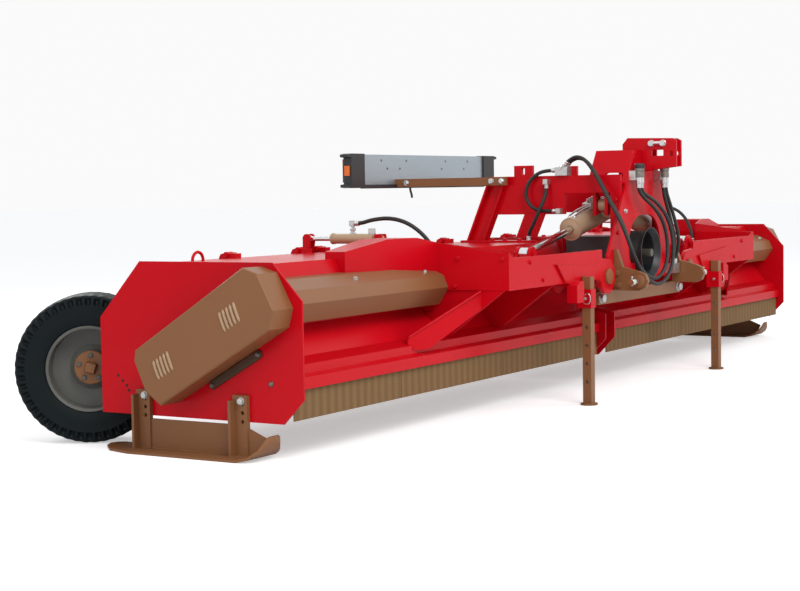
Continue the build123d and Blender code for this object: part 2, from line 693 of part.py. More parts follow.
def make_rotor():
    """Rotor tube with two helical rows of T-shaped hammers and a shaft in the end plates."""
    start = INNER_FACE + PLATE + BOSS + ROTOR_GAP
    end = HALF_WIDTH - PLATE - BOSS - ROTOR_GAP
    shaft = bar_x(ROTOR_Y, ROTOR_Z, ROTOR_SHAFT_R, INNER_FACE, HALF_WIDTH)
    tube = bar_x(ROTOR_Y, ROTOR_Z, ROTOR_TUBE_R, start, end)
    foot_r = ROTOR_TUBE_R - HAMMER_STEM / 2
    head_r = HAMMER_NECK_R + 15
    rounded = ROTOR_TIP_R - 6
    half = ((HAMMER_STEM, foot_r), (HAMMER_STEM, HAMMER_NECK_R), (HAMMER_HEAD, head_r),
            (HAMMER_HEAD, rounded))
    outline = [(-y, r) for y, r in half] + [(0, ROTOR_TIP_R)] + list(half[::-1])
    hammer = yz_prism(outline, -HAMMER_WIDE / 2, HAMMER_WIDE / 2)
    pitch = (end - start - 2 * HAMMER_WIDE) / (HAMMER_COUNT - 1)
    hammers = []
    for k in range(HAMMER_COUNT):
        place = Pos(start + HAMMER_WIDE + k * pitch, ROTOR_Y, ROTOR_Z)
        hammers.append(place * Rot(k * HAMMER_TURN, 0, 0) * hammer)
    return shaft + tube + hammers


def make_door():
    """Rear door: a folded sheet on four hinges, with the ram's lever."""
    folds = ((DOOR_PIN_Y + 24, DOOR_PIN_Z - 30), (DOOR_BACK, 612), (DOOR_BACK, 262), (DOOR_BACK - 24, 250))
    door = yz_prism(folded(folds, DOOR_SHEET), DOOR_IN, DOOR_OUT)
    strap_outline = ((DOOR_PIN_Y - 16, DOOR_PIN_Z + 14), (DOOR_PIN_Y + 16, DOOR_PIN_Z + 8),
                     (DOOR_PIN_Y + 62, DOOR_PIN_Z - 70), (DOOR_PIN_Y + 40, DOOR_PIN_Z - 70),
                     (DOOR_PIN_Y - 16, DOOR_PIN_Z - 8))
    for x in door_hinges():
        inner = KNUCKLE / 2 + STRAP_GAP
        reach = inner + STRAP
        door += bar_x(DOOR_PIN_Y, DOOR_PIN_Z, DOOR_PIN_R, x - reach, x + reach)
        door += yz_prism(strap_outline, x - reach, x - inner)
        door += yz_prism(strap_outline, x + inner, x + reach)
    lever_z = DOOR_PIN_Z + LEVER_UP
    lever_outline = ((DOOR_PIN_Y - 16, DOOR_PIN_Z), (DOOR_PIN_Y - 25, lever_z), (DOOR_PIN_Y + 25, lever_z),
                     (DOOR_PIN_Y + 26, DOOR_PIN_Z), (DOOR_PIN_Y + 62, DOOR_PIN_Z - 70),
                     (DOOR_PIN_Y + 40, DOOR_PIN_Z - 70))
    lever = yz_prism(lever_outline, 0, PLATE)
    lever += bar_x(DOOR_PIN_Y, lever_z, LEVER_R, 0, PLATE)
    for x in (LEVER_X - DOOR_LUG_GAP - PLATE, LEVER_X + DOOR_LUG_GAP):
        door += Pos(x, 0, 0) * lever
    return door


def make_flaps():
    """Front flaps: long panels side by side on one rod between the end plates, slit from each other."""
    start, end = INNER_FACE + PLATE, HALF_WIDTH - PLATE
    flaps = bar_x(FLAP_ROD_Y, FLAP_ROD_Z, FLAP_ROD_R, start, end)
    front = FLAP_ROD_Y - FLAP_ROD_R
    edges = (start, *FLAP_SLITS, end)
    for x0, x1 in zip(edges, edges[1:]):
        flaps += block(x0 + FLAP_SLIT / 2, x1 - FLAP_SLIT / 2, front, front + FLAP, FLAP_LOW, FLAP_ROD_Z)
    return flaps


def make_sleeve():
    """Square sleeve on a plate of the arm's front that guides the parking leg."""
    half, hollow = LEG_OUTER / 2, LEG / 2 + RUNNING
    sleeve = block(LEG_X - half, LEG_X + half, LEG_Y - half, LEG_Y + half, SLEEVE_LOW, SLEEVE_TOP)
    sleeve -= block(LEG_X - hollow, LEG_X + hollow, LEG_Y - hollow, LEG_Y + hollow, SLEEVE_LOW, SLEEVE_TOP)
    plate = block(LEG_X - SLEEVE_PLATE_HALF, LEG_X + SLEEVE_PLATE_HALF, ARM_FRONT - SLEEVE_PLATE, ARM_FRONT,
                  SLEEVE_LOW, SLEEVE_PLATE_TOP)
    return sleeve + plate


def make_leg():
    """Parking leg: a drilled square tube on a round foot plate."""
    leg = block(LEG_X - LEG / 2, LEG_X + LEG / 2, LEG_Y - LEG / 2, LEG_Y + LEG / 2, FOOT, LEG_TOP)
    leg += bar_z(LEG_X, LEG_Y, FOOT_R, 0, FOOT)
    for z in LEG_HOLES:
        leg -= bar_x(LEG_Y, z, LEG_HOLE_R, LEG_X - LEG, LEG_X + LEG)
    return leg


def make_door_ram():
    """The door's small ram, its barrel with two pipes on the hood and its rod at the lever."""
    base = (LEVER_X, DOOR_BASE_Y, DOOR_BASE_Z)
    eye = (LEVER_X, DOOR_PIN_Y, DOOR_PIN_Z + LEVER_UP)
    reach = hypot(eye[1] - base[1], eye[2] - base[2])
    place = along(base, eye, (1, 0, 0))
    bore = DOOR_RAM_R * 0.78
    barrel = place * ram_barrel(DOOR_RAM_R, bore, DOOR_RAM_LONG, DOOR_EYE_R, DOOR_EYE, DOOR_RAM_PIN_R)
    for y, elbow_z in DOOR_PIPES:
        barrel += bar_z(LEVER_X, y, DOOR_PIPE_R, DOOR_BASE_Z + bore + 2, elbow_z)
        barrel += Pos(LEVER_X, y, elbow_z) * Box(ELBOW, ELBOW, ELBOW)
    rod = ram_rod(bore * 0.6, bore - PISTON_GAP, DOOR_ROD_LONG, reach, DOOR_EYE_R, DOOR_EYE, DOOR_RAM_PIN_R)
    return barrel, place * rod


def make_fold_ram(name):
    """A fold ram across the tower, its base beyond the middle and its rod at the wing's arm."""
    y = CYLINDER_Y[name]
    base = (-BASE_X, y, BASE_Z)
    eye = (EYE_X, y, EYE_Z)
    reach = hypot(EYE_X + BASE_X, EYE_Z - BASE_Z)
    place = along(base, eye, (0, -1, 0))
    bore = BARREL_R - BARREL_WALL
    barrel = ram_barrel(BARREL_R, bore, BARREL_LONG, CYLINDER_EYE_R, CYLINDER_EYE, CYLINDER_PIN_R)
    rod = ram_rod(ROD_R, bore - PISTON_GAP, ROD_LONG, reach, CYLINDER_EYE_R, CYLINDER_EYE, CYLINDER_PIN_R)
    return place * barrel, place * rod


def make_pivot_beam():
    """Box beam between the two hinge tubes, hollowed out in front for the drive guard."""
    half = PIVOT_X - BEAM_LAP
    beam = block(-half, half, FRONT_PLATE_Y, PIVOT_REAR, BEAM_LOW, BEAM_TOP)
    beam -= bar_y(0, PTO_Z, PTO_GUARD_R + PTO_GUARD_WALL, FRONT_PLATE_Y, GEARBOX_FRONT)
    tubes = [bar_y(s * PIVOT_X, PIVOT_Z, PIVOT_TUBE_R, PIVOT_FRONT, PIVOT_REAR) for s in (-1, 1)]
    bores = [bar_y(s * PIVOT_X, PIVOT_Z, PIN_R + RUNNING, PIVOT_FRONT, PIVOT_REAR) for s in (-1, 1)]
    return beam + tubes - bores


def make_arch(side):
    """One arch frame: column, top beam, flanged rear strut on its foot rail, and a ram's base lugs."""
    x0, x1 = FRAME_X, FRAME_X + FRAME_PLATE
    foot_z = HOOD_TOP + FOOT_GAP
    lean = (STRUT_FOOT_BACK - STRUT_TOP) / (FRAME_TOP - foot_z)
    under_y = STRUT_FOOT_FRONT - lean * (FRAME_UNDER - foot_z)
    outline = ((FRONT_PLATE_Y, BEAM_TOP), (FRONT_PLATE_Y, FRAME_TOP), (STRUT_TOP, FRAME_TOP),
               (STRUT_FOOT_BACK, foot_z), (STRUT_FOOT_FRONT, foot_z), (under_y, FRAME_UNDER),
               (NOTCH_BACK, FRAME_UNDER), (NOTCH_BACK, NOTCH_TOP), (COLUMN_BACK, NOTCH_TOP),
               (COLUMN_BACK, BEAM_TOP))
    frame = yz_prism(outline, x0, x1)
    for foot_y in (STRUT_FOOT_FRONT, STRUT_FOOT_BACK - STRUT_FLANGE):
        top_y = foot_y - lean * (FRAME_TOP - foot_z)
        flange = ((foot_y, foot_z), (top_y, FRAME_TOP), (top_y + STRUT_FLANGE, FRAME_TOP),
                  (foot_y + STRUT_FLANGE, foot_z))
        frame += yz_prism(flange, x1, x1 + STRUT_FLANGE_WIDE)
    frame += block(x0, x0 + FOOT_RAIL_WIDE + FRAME_PLATE, FOOT_RAIL_FRONT, FOOT_RAIL_BACK, foot_z,
                   foot_z + FOOT_RAIL)
    frame += block(x0, x1, *LOCK_PLATE, FRAME_TOP, FRAME_TOP + LOCK_TALL)
    hole_y = (LOCK_PLATE[0] + LOCK_PLATE[1]) / 2
    frame -= oval_x(hole_y, FRAME_TOP + LOCK_HOLE_RISE, LOCK_HOLE_R, 0, LOCK_HOLE_R, x0, x1)
    y = CYLINDER_Y["left" if side > 0 else "right"]
    half_gap = CYLINDER_EYE / 2 + LUG_GAP
    for y0 in (y - half_gap - LUG, y + half_gap):
        lug = ((x0, BASE_Z - 60), (x0, LUG_TOP), (BASE_X - 40, BASE_Z + 10), (BASE_X - 40, BASE_Z - 40))
        frame += xz_prism(lug, y0, y0 + LUG)
    return frame + bar_y(BASE_X, BASE_Z, CYLINDER_PIN_R - RUNNING, y - half_gap - LUG, y + half_gap + LUG)


def make_front_plate():
    """Tower's front plate with sloping sides and the long round-ended drive opening."""
    half = ((FRONT_PLATE_HALF, BEAM_LOW), (FRONT_PLATE_HALF, FRONT_PLATE_KNEE),
            (TOWER_SHOULDER_X, TOWER_SHOULDER_Z), (TOWER_HALF, TOWER_TOP))
    outline = list(half) + [(-x, z) for x, z in half[::-1]]
    plate = xz_prism(outline, PLATE_FRONT, FRONT_PLATE_Y)
    middle = PTO_HOLE_HALF - PTO_HOLE_R
    for s in (-1, 1):
        plate -= bar_y(s * middle, PTO_HOLE_Z, PTO_HOLE_R, PLATE_FRONT, FRONT_PLATE_Y)
    return plate - block(-middle, middle, PLATE_FRONT, FRONT_PLATE_Y, PTO_HOLE_Z - PTO_HOLE_R,
                         PTO_HOLE_Z + PTO_HOLE_R)


def make_tower():
    """Tower cheeks that lean in to a narrow roof, each with an oval hole, and a deck between the arches."""
    slope = (TOWER_SHOULDER_X - TOWER_HALF) / (TOWER_TOP - TOWER_SHOULDER_Z)
    low_z = TOWER_DECK_Z - TOWER_ROOF
    low_x = TOWER_HALF + slope * (TOWER_TOP - low_z)
    outline = ((TOWER_HALF, TOWER_TOP), (low_x, low_z), (low_x - TOWER_PLATE, low_z),
               (TOWER_HALF - TOWER_PLATE, TOWER_TOP))
    oval = oval_x(OVAL_Y, OVAL_Z, OVAL_R, OVAL_HALF, 0, 0, FRAME_X)
    cheek = xz_prism(outline, FRONT_PLATE_Y, TOWER_BACK) - oval
    roof_half = TOWER_HALF - TOWER_PLATE / 2
    roof = block(-roof_half, roof_half, FRONT_PLATE_Y, TOWER_BACK, TOWER_TOP - TOWER_ROOF, TOWER_TOP)
    deck = block(-FRAME_X, FRAME_X, FRONT_PLATE_Y, TOWER_BACK, low_z, TOWER_DECK_Z)
    return roof + cheek + mirror(cheek, about=Plane.YZ) + deck


def make_clevis():
    """Top-link clevis: two cheeks in front of the tower with a window and a cross-drilled hole each."""
    outline = ((PLATE_FRONT, CLEVIS_LOW), (FRONT_TIP, CLEVIS_LOW + 24), (FRONT_TIP, CLEVIS_TOP - 21),
               (FRONT_TIP + 23, CLEVIS_TOP - 8), (CLEVIS_BACK - 33, CLEVIS_TOP),
               (CLEVIS_BACK, CLEVIS_TOP - 37), (CLEVIS_BACK, TOWER_TOP), (PLATE_FRONT, TOWER_TOP))
    cheeks = []
    for s in (-1, 1):
        x0 = s * (CLEVIS_GAP + CLEVIS / 2) - CLEVIS / 2
        x1 = x0 + CLEVIS
        cheek = yz_prism(outline, x0, x1) - bar_x(TOP_LINK_Y, TOP_LINK_Z, TOP_LINK_R, x0, x1)
        cheeks.append(cheek - block(x0, x1, *WINDOW, WINDOW_Z - WINDOW_TALL / 2,
                                    WINDOW_Z + WINDOW_TALL / 2))
    back = block(-CLEVIS_GAP, CLEVIS_GAP, CLEVIS_BACK - CLEVIS - 33, CLEVIS_BACK - 33, TOWER_TOP,
                 CLEVIS_TOP - 37)
    return cheeks[0] + cheeks[1] + back


def make_bracket():
    """Lower-link bracket: a horned plate on the tower's front with the link pin and its collar."""
    x0 = BRACKET_OUT - BRACKET
    slant = LINK_EAR_R * 0.7
    outline = ((PLATE_FRONT, BRACKET_LOW), (PLATE_FRONT, BRACKET_TOP), (PLATE_FRONT - 18, BRACKET_TOP),
               (PLATE_FRONT - 52, BRACKET_TOP - 100), (LINK_Y, LINK_Z + LINK_EAR_R),
               (LINK_Y - slant, LINK_Z + slant), (LINK_Y - LINK_EAR_R, LINK_Z),
               (LINK_Y - slant, LINK_Z - slant), (LINK_Y, LINK_Z - LINK_EAR_R))
    plate = yz_prism(outline, x0, BRACKET_OUT)
    collar = bar_x(LINK_Y, LINK_Z, LINK_COLLAR_R, BRACKET_OUT, LINK_SHOULDER)
    return plate + collar + bar_x(LINK_Y, LINK_Z, LINK_PIN_R, LINK_SHOULDER, LINK_SHOULDER + LINK_PIN)


def make_cross_bar():
    """Flat bar under the pivot beam, on two hangers."""
    back = CROSS_BAR_FRONT + CROSS_BAR
    top = CROSS_BAR_LOW + CROSS_BAR_TALL
    bar = block(-CROSS_BAR_HALF, CROSS_BAR_HALF, CROSS_BAR_FRONT, back, CROSS_BAR_LOW, top)
    for s in (-1, 1):
        x0, x1 = sorted((s * HANGER_X, s * (HANGER_X + HANGER)))
        bar += block(x0, x1, back, back + HANGER_DEEP, CROSS_BAR_LOW, BEAM_LOW)
    return bar


def make_gearbox():
    """Gearbox on the pivot beam: an upper housing for the drive stub and a lower one for the side shafts."""
    upper = block(-GEARBOX_HALF, GEARBOX_HALF, GEARBOX_FRONT, DRIVE_Y + 70, BEAM_TOP, GEARBOX_TOP)
    lower = block(-GEARBOX_HALF, GEARBOX_HALF, PIVOT_REAR + EAR_GAP, DRIVE_Y + 80, DRIVE_Z - 90, BEAM_TOP)
    stub = bar_y(0, PTO_Z, PTO_R, PTO_TIP, GEARBOX_FRONT)
    shafts = []
    for s in (-1, 1):
        x0, x1 = sorted((s * GEARBOX_HALF, s * PIVOT_X))
        ball = Pos(s * PIVOT_X, DRIVE_Y, DRIVE_Z) * Sphere(DRIVE_BALL_R)
        shafts.append(bar_x(DRIVE_Y, DRIVE_Z, DRIVE_SHAFT_R, x0, x1) + ball)
    return upper + lower + stub + shafts


def make_pto_guard():
    """Round guard about the drive stub, flared in front of the tower's plate."""
    neck = PLATE_FRONT - PTO_GUARD_WALL
    outer = ((GEARBOX_FRONT, PTO_GUARD_R), (neck, PTO_GUARD_R), (PTO_TIP + 4, PTO_FLARE_R))
    wall = [(y, r) for y, r in outer] + [(y, r - PTO_GUARD_WALL) for y, r in outer[::-1]]
    face = make_face(Polyline(*[(0, y, r) for y, r in wall], close=True))
    return Pos(0, 0, PTO_Z) * revolve(face, Axis.Y)


def make_couplers():
    """Coupling holders, the arch's manifold and hose blocks, and the upright quick couplings."""
    pieces = []
    for (x0, y0, z0), (x1, y1, z1) in COUPLER_BLOCKS:
        pieces.append(block(x0, x1, y0, y1, z0, z1))
    for x in COUPLERS_X:
        pieces.append(bar_z(x, COUPLER_Y, COUPLER_R, COUPLER_LOW, COUPLER_TOP))
    for x in (HOSES["tower_hose_inner"][0][0], HOSES["tower_hose_outer"][0][0]):
        elbow = along((x, -415, FRAME_TOP + 30), (x, -452, FRAME_TOP + 66), (1, 0, 0)) * Rot(0, 90, 0)
        pieces.append(elbow * Pos(0, 0, 20) * Cylinder(HOSE_R + 2, 40))
    return pieces[0] + pieces[1:]


def make_hose(name, points):
    """A hose along straight runs joined by tangent arcs, each as large as its two runs allow."""
    ways = [Vector(*b) - Vector(*a) for a, b in zip(points, points[1:])]
    radii = []
    for before, after in zip(ways, ways[1:]):
        shorter = min(before.length, after.length)
        radii.append(0.45 * shorter / tan(radians(before.get_angle(after)) / 2))
    path = FilletPolyline(*points, radius=radii)
    hose = sweep(Plane(origin=points[0], z_dir=ways[0]) * Circle(HOSE_R), path=path)
    share = hose.volume / (pi * HOSE_R ** 2 * path.length)
    print(name, "length", round(path.length), "smallest radius", round(min(radii)), "volume share",
          round(share, 4))
    return hose


def make_bar_arms():
    """Two flat arms from the arch frames back to the light bar."""
    x0 = FRAME_X + FRAME_PLATE + STRUT_FLANGE_WIDE
    arm = block(x0, x0 + BAR_ARM, BAR_ARM_FRONT, BAR_Y, BAR_ARM_LOW, BAR_ARM_LOW + BAR_ARM_TALL)
    return arm + mirror(arm, about=Plane.YZ)


def make_light_bar():
    """Flat light bar."""
    return block(-BAR_HALF, BAR_HALF, BAR_Y, BAR_Y + BAR_SHEET, BAR_LOW, BAR_LOW + BAR_TALL)


def make_caps():
    """Lamp housings at both ends of the light bar."""
    cap = block(BAR_HALF, BAR_HALF + CAP_LONG, BAR_Y - CAP_FRONT, BAR_Y + CAP_BACK, BAR_LOW - CAP_LIP,
                BAR_LOW + BAR_TALL + CAP_LIP)
    return cap + mirror(cap, about=Plane.YZ)


def make_side_lamps():
    """Side lamps on the ends of the lamp housings."""
    x0 = BAR_HALF + CAP_LONG
    low = BAR_LOW + LAMP_LOW
    lamp = block(x0, x0 + LAMP_DEEP, BAR_Y, BAR_Y + CAP_BACK - CAP_FRONT, low, low + LAMP_TALL)
    return lamp + mirror(lamp, about=Plane.YZ)


def make_tail_lamps():
    """Tail lamps on the rear faces of the lamp housings."""
    back = BAR_Y + CAP_BACK
    lamp = block(BAR_HALF + LAMP_DEEP, BAR_HALF + CAP_LONG - LAMP_DEEP, back, back + TAIL_LAMP_DEEP,
                 BAR_LOW + TAIL_LAMP_EDGE, BAR_LOW + BAR_TALL - TAIL_LAMP_EDGE)
    return lamp + mirror(lamp, about=Plane.YZ)


os.makedirs("parts", exist_ok=True)
envelope = hood_envelope()
bare_arm = make_arm(envelope)
wing_parts = {
    "hood": make_hood(),
    "end_plates": make_end_plates(),
    "shaft_guard": make_guard(envelope, bare_arm),
    "belt_cover": make_cover(),
    "skid": make_skid(),
    "wheel_arm": make_wheel_arm(),
    "tyre": make_tyre(),
    "rim": make_rim(),
    "rotor": make_rotor(),
    "rear_door": make_door(),
    "front_flaps": make_flaps(),
    "leg_sleeve": make_sleeve(),
    "parking_leg": make_leg(),
    "door_hose": make_hose("door_hose", DOOR_HOSE),
}
wing_parts["door_ram_barrel"], wing_parts["door_ram_rod"] = make_door_ram()
for name, side in (("left", -1), ("right", 1)):
    parts = dict(wing_parts)
    parts["carrier_arm"] = bare_arm + make_ram_lugs(CYLINDER_Y[name])
    parts["fold_ram_barrel"], parts["fold_ram_rod"] = make_fold_ram(name)
    for piece, shape in parts.items():
        save(f"{name}_{piece}", shape if side > 0 else mirror(shape, about=Plane.YZ))

centre_parts = {
    "pivot_beam": make_pivot_beam(),
    "arch_frames": make_arch(1) + mirror(make_arch(-1), about=Plane.YZ),
    "tower_front_plate": make_front_plate(),
    "tower_cheeks": make_tower(),
    "top_link_clevis": make_clevis(),
    "link_brackets": make_bracket() + mirror(make_bracket(), about=Plane.YZ),
    "lower_cross_bar": make_cross_bar(),
    "gearbox": make_gearbox(),
    "drive_cone_guard": make_pto_guard(),
    "hose_couplers": make_couplers(),
    "light_bar_arms": make_bar_arms(),
    "light_bar": make_light_bar(),
    "lamp_housings": make_caps(),
    "side_lamps": make_side_lamps(),
    "tail_lamps": make_tail_lamps(),
}
for name, points in HOSES.items():
    centre_parts[name] = make_hose(name, points)
for piece, shape in centre_parts.items():
    save(piece, shape)
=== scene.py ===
import bpy
import bmesh
from math import cos, pi, radians, sin
from mathutils import Matrix, Vector


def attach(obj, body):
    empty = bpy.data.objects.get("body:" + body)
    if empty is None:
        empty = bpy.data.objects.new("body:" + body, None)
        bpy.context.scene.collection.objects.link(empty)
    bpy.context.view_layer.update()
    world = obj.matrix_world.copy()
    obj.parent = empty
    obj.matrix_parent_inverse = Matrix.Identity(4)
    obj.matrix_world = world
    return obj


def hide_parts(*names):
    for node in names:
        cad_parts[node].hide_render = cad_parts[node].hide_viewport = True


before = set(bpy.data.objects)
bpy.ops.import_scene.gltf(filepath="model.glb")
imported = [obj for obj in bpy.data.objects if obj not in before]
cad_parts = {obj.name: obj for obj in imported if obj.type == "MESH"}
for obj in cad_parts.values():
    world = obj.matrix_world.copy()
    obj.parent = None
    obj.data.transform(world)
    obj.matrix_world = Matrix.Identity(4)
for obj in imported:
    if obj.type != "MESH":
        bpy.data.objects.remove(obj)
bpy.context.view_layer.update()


# Studio: a pale matt floor that runs out to a pale horizon, with a broad soft key from the front left,
# a fill from the tractor's side, a weaker one on the left end and a rim from behind. The camera stands
# where the photographer stood, a little above the hoods, off the left front corner.
def shader_of(name):
    """A new material with its node tree and its surface shader."""
    material = bpy.data.materials.new(name)
    material.use_nodes = True
    return material, material.node_tree, material.node_tree.nodes["Principled BSDF"]


floor_half = 90.0
floor_mesh = bpy.data.meshes.new("studio_floor")
floor_corners = [(-1, -1), (1, -1), (1, 1), (-1, 1)]
floor_mesh.from_pydata([(floor_half * x, floor_half * y, 0) for x, y in floor_corners], [], [(0, 1, 2, 3)])
studio_floor = bpy.data.objects.new("studio_floor", floor_mesh)
bpy.context.scene.collection.objects.link(studio_floor)
floor_paint, floor_tree, floor_shader = shader_of("studio_floor")
floor_shader.inputs["Base Color"].default_value = (0.84, 0.84, 0.84, 1)
floor_shader.inputs["Roughness"].default_value = 0.9
floor_shader.inputs["Specular IOR Level"].default_value = 0.1
floor_shader.inputs["Emission Color"].default_value = (1, 1, 1, 1)
floor_rays = floor_tree.nodes.new("ShaderNodeLightPath")
floor_glow = floor_tree.nodes.new("ShaderNodeMath")
floor_glow.operation = "MULTIPLY"
floor_glow.inputs[1].default_value = 0.44
floor_tree.links.new(floor_rays.outputs["Is Camera Ray"], floor_glow.inputs[0])
floor_tree.links.new(floor_glow.outputs[0], floor_shader.inputs["Emission Strength"])
floor_mesh.materials.append(floor_paint)

world = bpy.data.worlds.new("studio")
bpy.context.scene.world = world
world.use_nodes = True
sky = world.node_tree
sky_light = sky.nodes["Background"]
sky_light.inputs["Color"].default_value = (0.95, 0.97, 1.0, 1)
sky_light.inputs["Strength"].default_value = 0.6
sky_seen = sky.nodes.new("ShaderNodeBackground")
sky_seen.inputs["Color"].default_value = (0.96, 0.96, 0.96, 1)
rays = sky.nodes.new("ShaderNodeLightPath")
seen_or_glossy = sky.nodes.new("ShaderNodeMath")
seen_or_glossy.operation = "MAXIMUM"
seen_any = sky.nodes.new("ShaderNodeMath")
seen_any.operation = "MAXIMUM"
sky_mix = sky.nodes.new("ShaderNodeMixShader")
sky.links.new(rays.outputs["Is Camera Ray"], seen_or_glossy.inputs[0])
sky.links.new(rays.outputs["Is Glossy Ray"], seen_or_glossy.inputs[1])
sky.links.new(seen_or_glossy.outputs[0], seen_any.inputs[0])
sky.links.new(rays.outputs["Is Transmission Ray"], seen_any.inputs[1])
sky.links.new(seen_any.outputs[0], sky_mix.inputs[0])
sky.links.new(sky_light.outputs[0], sky_mix.inputs[1])
sky.links.new(sky_seen.outputs[0], sky_mix.inputs[2])
sky.links.new(sky_mix.outputs[0], sky.nodes["World Output"].inputs["Surface"])

# columns: name, place, aim, size, power
studio_lamps = (
    ("key_light", (-6.0, -7.0, 8.0), (-0.5, 0, 0.6), 5.0, 620),
    ("fill_light", (4.0, -9.0, 4.5), (0.5, 0, 0.6), 5.0, 260),
    ("side_light", (-10.0, 0.5, 3.5), (-3.3, 0, 0.5), 4.0, 90),
    ("rim_light", (3.0, 8.0, 6.0), (0, 0, 0.8), 4.0, 300),
)
for lamp_name, lamp_place, lamp_aim, lamp_size, lamp_power in studio_lamps:
    lamp_data = bpy.data.lights.new(lamp_name, "AREA")
    lamp_data.size = lamp_size
    lamp_data.energy = lamp_power
    lamp = bpy.data.objects.new(lamp_name, lamp_data)
    lamp.location = lamp_place
    lamp.rotation_euler = (Vector(lamp_aim) - Vector(lamp_place)).to_track_quat("-Z", "Y").to_euler()
    bpy.context.scene.collection.objects.link(lamp)

camera_data = bpy.data.cameras.new("camera")
camera_data.sensor_fit = "HORIZONTAL"
camera_data.sensor_width = 36
camera_data.lens = 74.69
camera_data.clip_end = 300
camera = bpy.data.objects.new("camera", camera_data)
bpy.context.scene.collection.objects.link(camera)
bpy.context.scene.camera = camera
yaw, pitch, roll = radians(58.7185), radians(3.6416), radians(-0.9523)
ahead = Vector((sin(yaw) * cos(pitch), cos(yaw) * cos(pitch), -sin(pitch)))
level = Vector((cos(yaw), -sin(yaw), 0))
above = level.cross(ahead)
camera_right = level * cos(roll) + above * sin(roll)
camera_up = above * cos(roll) - level * sin(roll)
camera.matrix_world = Matrix.Translation((-9.3025, -4.77736, 1.2010)) @ Matrix(
    (camera_right, camera_up, -ahead)
).transposed().to_4x4()
bpy.context.scene.view_settings.view_transform = "Standard"


# Painted steelwork: the frames, hoods and arms are welded plate, sprayed in a glossy red enamel,
# while covers, legs, skids and small brackets are sprayed in a warm beige one.
def finish(name, colour, tone, rough, metal=0.0, specular=0.5, scale=2.0, grain=140, depth=0.05, edge=0.003):
    """Two close tones in broad patches, a roughness that drifts with them, a fine grain and soft edges."""
    material, tree, shader = shader_of(name)
    shader.inputs["Metallic"].default_value = metal
    shader.inputs["Specular IOR Level"].default_value = specular
    place = tree.nodes.new("ShaderNodeTexCoord")
    patches = tree.nodes.new("ShaderNodeTexNoise")
    patches.inputs["Scale"].default_value = scale
    patches.inputs["Detail"].default_value = 1
    tree.links.new(place.outputs["Object"], patches.inputs["Vector"])
    tones = tree.nodes.new("ShaderNodeValToRGB")
    tones.color_ramp.elements[0].position = 0.2
    tones.color_ramp.elements[0].color = (*tone, 1)
    tones.color_ramp.elements[1].position = 0.8
    tones.color_ramp.elements[1].color = (*colour, 1)
    tree.links.new(patches.outputs["Fac"], tones.inputs["Fac"])
    tree.links.new(tones.outputs["Color"], shader.inputs["Base Color"])
    drift = tree.nodes.new("ShaderNodeMapRange")
    drift.inputs["To Min"].default_value = rough * 0.8
    drift.inputs["To Max"].default_value = rough * 1.25
    tree.links.new(patches.outputs["Fac"], drift.inputs["Value"])
    tree.links.new(drift.outputs["Result"], shader.inputs["Roughness"])
    speck = tree.nodes.new("ShaderNodeTexNoise")
    speck.inputs["Scale"].default_value = grain
    tree.links.new(place.outputs["Object"], speck.inputs["Vector"])
    rounded = tree.nodes.new("ShaderNodeBevel")
    rounded.samples = 4
    rounded.inputs["Radius"].default_value = edge
    bump = tree.nodes.new("ShaderNodeBump")
    bump.inputs["Strength"].default_value = depth
    bump.inputs["Distance"].default_value = 0.001
    tree.links.new(speck.outputs["Fac"], bump.inputs["Height"])
    tree.links.new(rounded.outputs["Normal"], bump.inputs["Normal"])
    tree.links.new(bump.outputs["Normal"], shader.inputs["Normal"])
    return material


def dress(material, *nodes):
    """Gives whole solids of the frame one finish."""
    for node in nodes:
        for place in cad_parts[node].material_slots:
            place.material = material


def both(*pieces):
    """The names of a piece on the left and on the right wing."""
    return [f"{side}_{piece}" for piece in pieces for side in ("left", "right")]


red_enamel = finish("red_enamel", (0.56, 0.002, 0.009), (0.52, 0.002, 0.008), 0.25, specular=0.13, depth=0.03)
beige_enamel = finish("beige_enamel", (0.245, 0.106, 0.043), (0.220, 0.094, 0.038), 0.36, specular=0.25)
dress(red_enamel, "pivot_beam", "tower_front_plate", "tower_cheeks", "top_link_clevis", "arch_frames")
dress(red_enamel, *both("hood", "end_plates", "carrier_arm", "rear_door", "leg_sleeve", "wheel_arm"))
dress(beige_enamel, "lower_cross_bar", "light_bar_arms", "link_brackets")
dress(beige_enamel, *both("shaft_guard", "belt_cover", "skid", "parking_leg"))


# Bolts of the whole machine: zinc-plated hexagon heads on washers, with a chamfered crown,
# screwed into tapped holes and weld nuts. Lengths along Y are given from the end plates' middle.
END_MIDDLE = -0.040659


def piece_of(name, mesh, material, body, smooth=30):
    """A finished mesh as a piece of one body, smooth but for edges sharper than the given angle."""
    mesh.materials.append(material)
    mesh.shade_smooth()
    mesh.set_sharp_from_angle(angle=radians(smooth))
    thing = bpy.data.objects.new(name, mesh)
    bpy.context.scene.collection.objects.link(thing)
    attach(thing, body)
    return thing


def rings_to(bm, rings, closed=True):
    """Skins a row of rings of points, and closes both ends."""
    made = [[bm.verts.new(point) for point in ring] for ring in rings]
    for one, two in zip(made, made[1:]):
        for k in range(len(one)):
            after = (k + 1) % len(one)
            bm.faces.new((one[k], one[after], two[after], two[k]))
    if closed:
        bm.faces.new(made[0][::-1])
        bm.faces.new(made[-1])


def turned(bm, foot, way, profile, sides, start=0.0, closed=True):
    """A turned or many-sided form: profile rows are (radius, height along way)."""
    turn = Vector(way).to_track_quat("Z", "Y")
    rings = []
    for radius, height in profile:
        ring = []
        for k in range(sides):
            angle = start + 2 * pi * k / sides
            ring.append(Vector(foot) + turn @ Vector((radius * cos(angle), radius * sin(angle), height)))
        rings.append(ring)
    rings_to(bm, rings, closed)


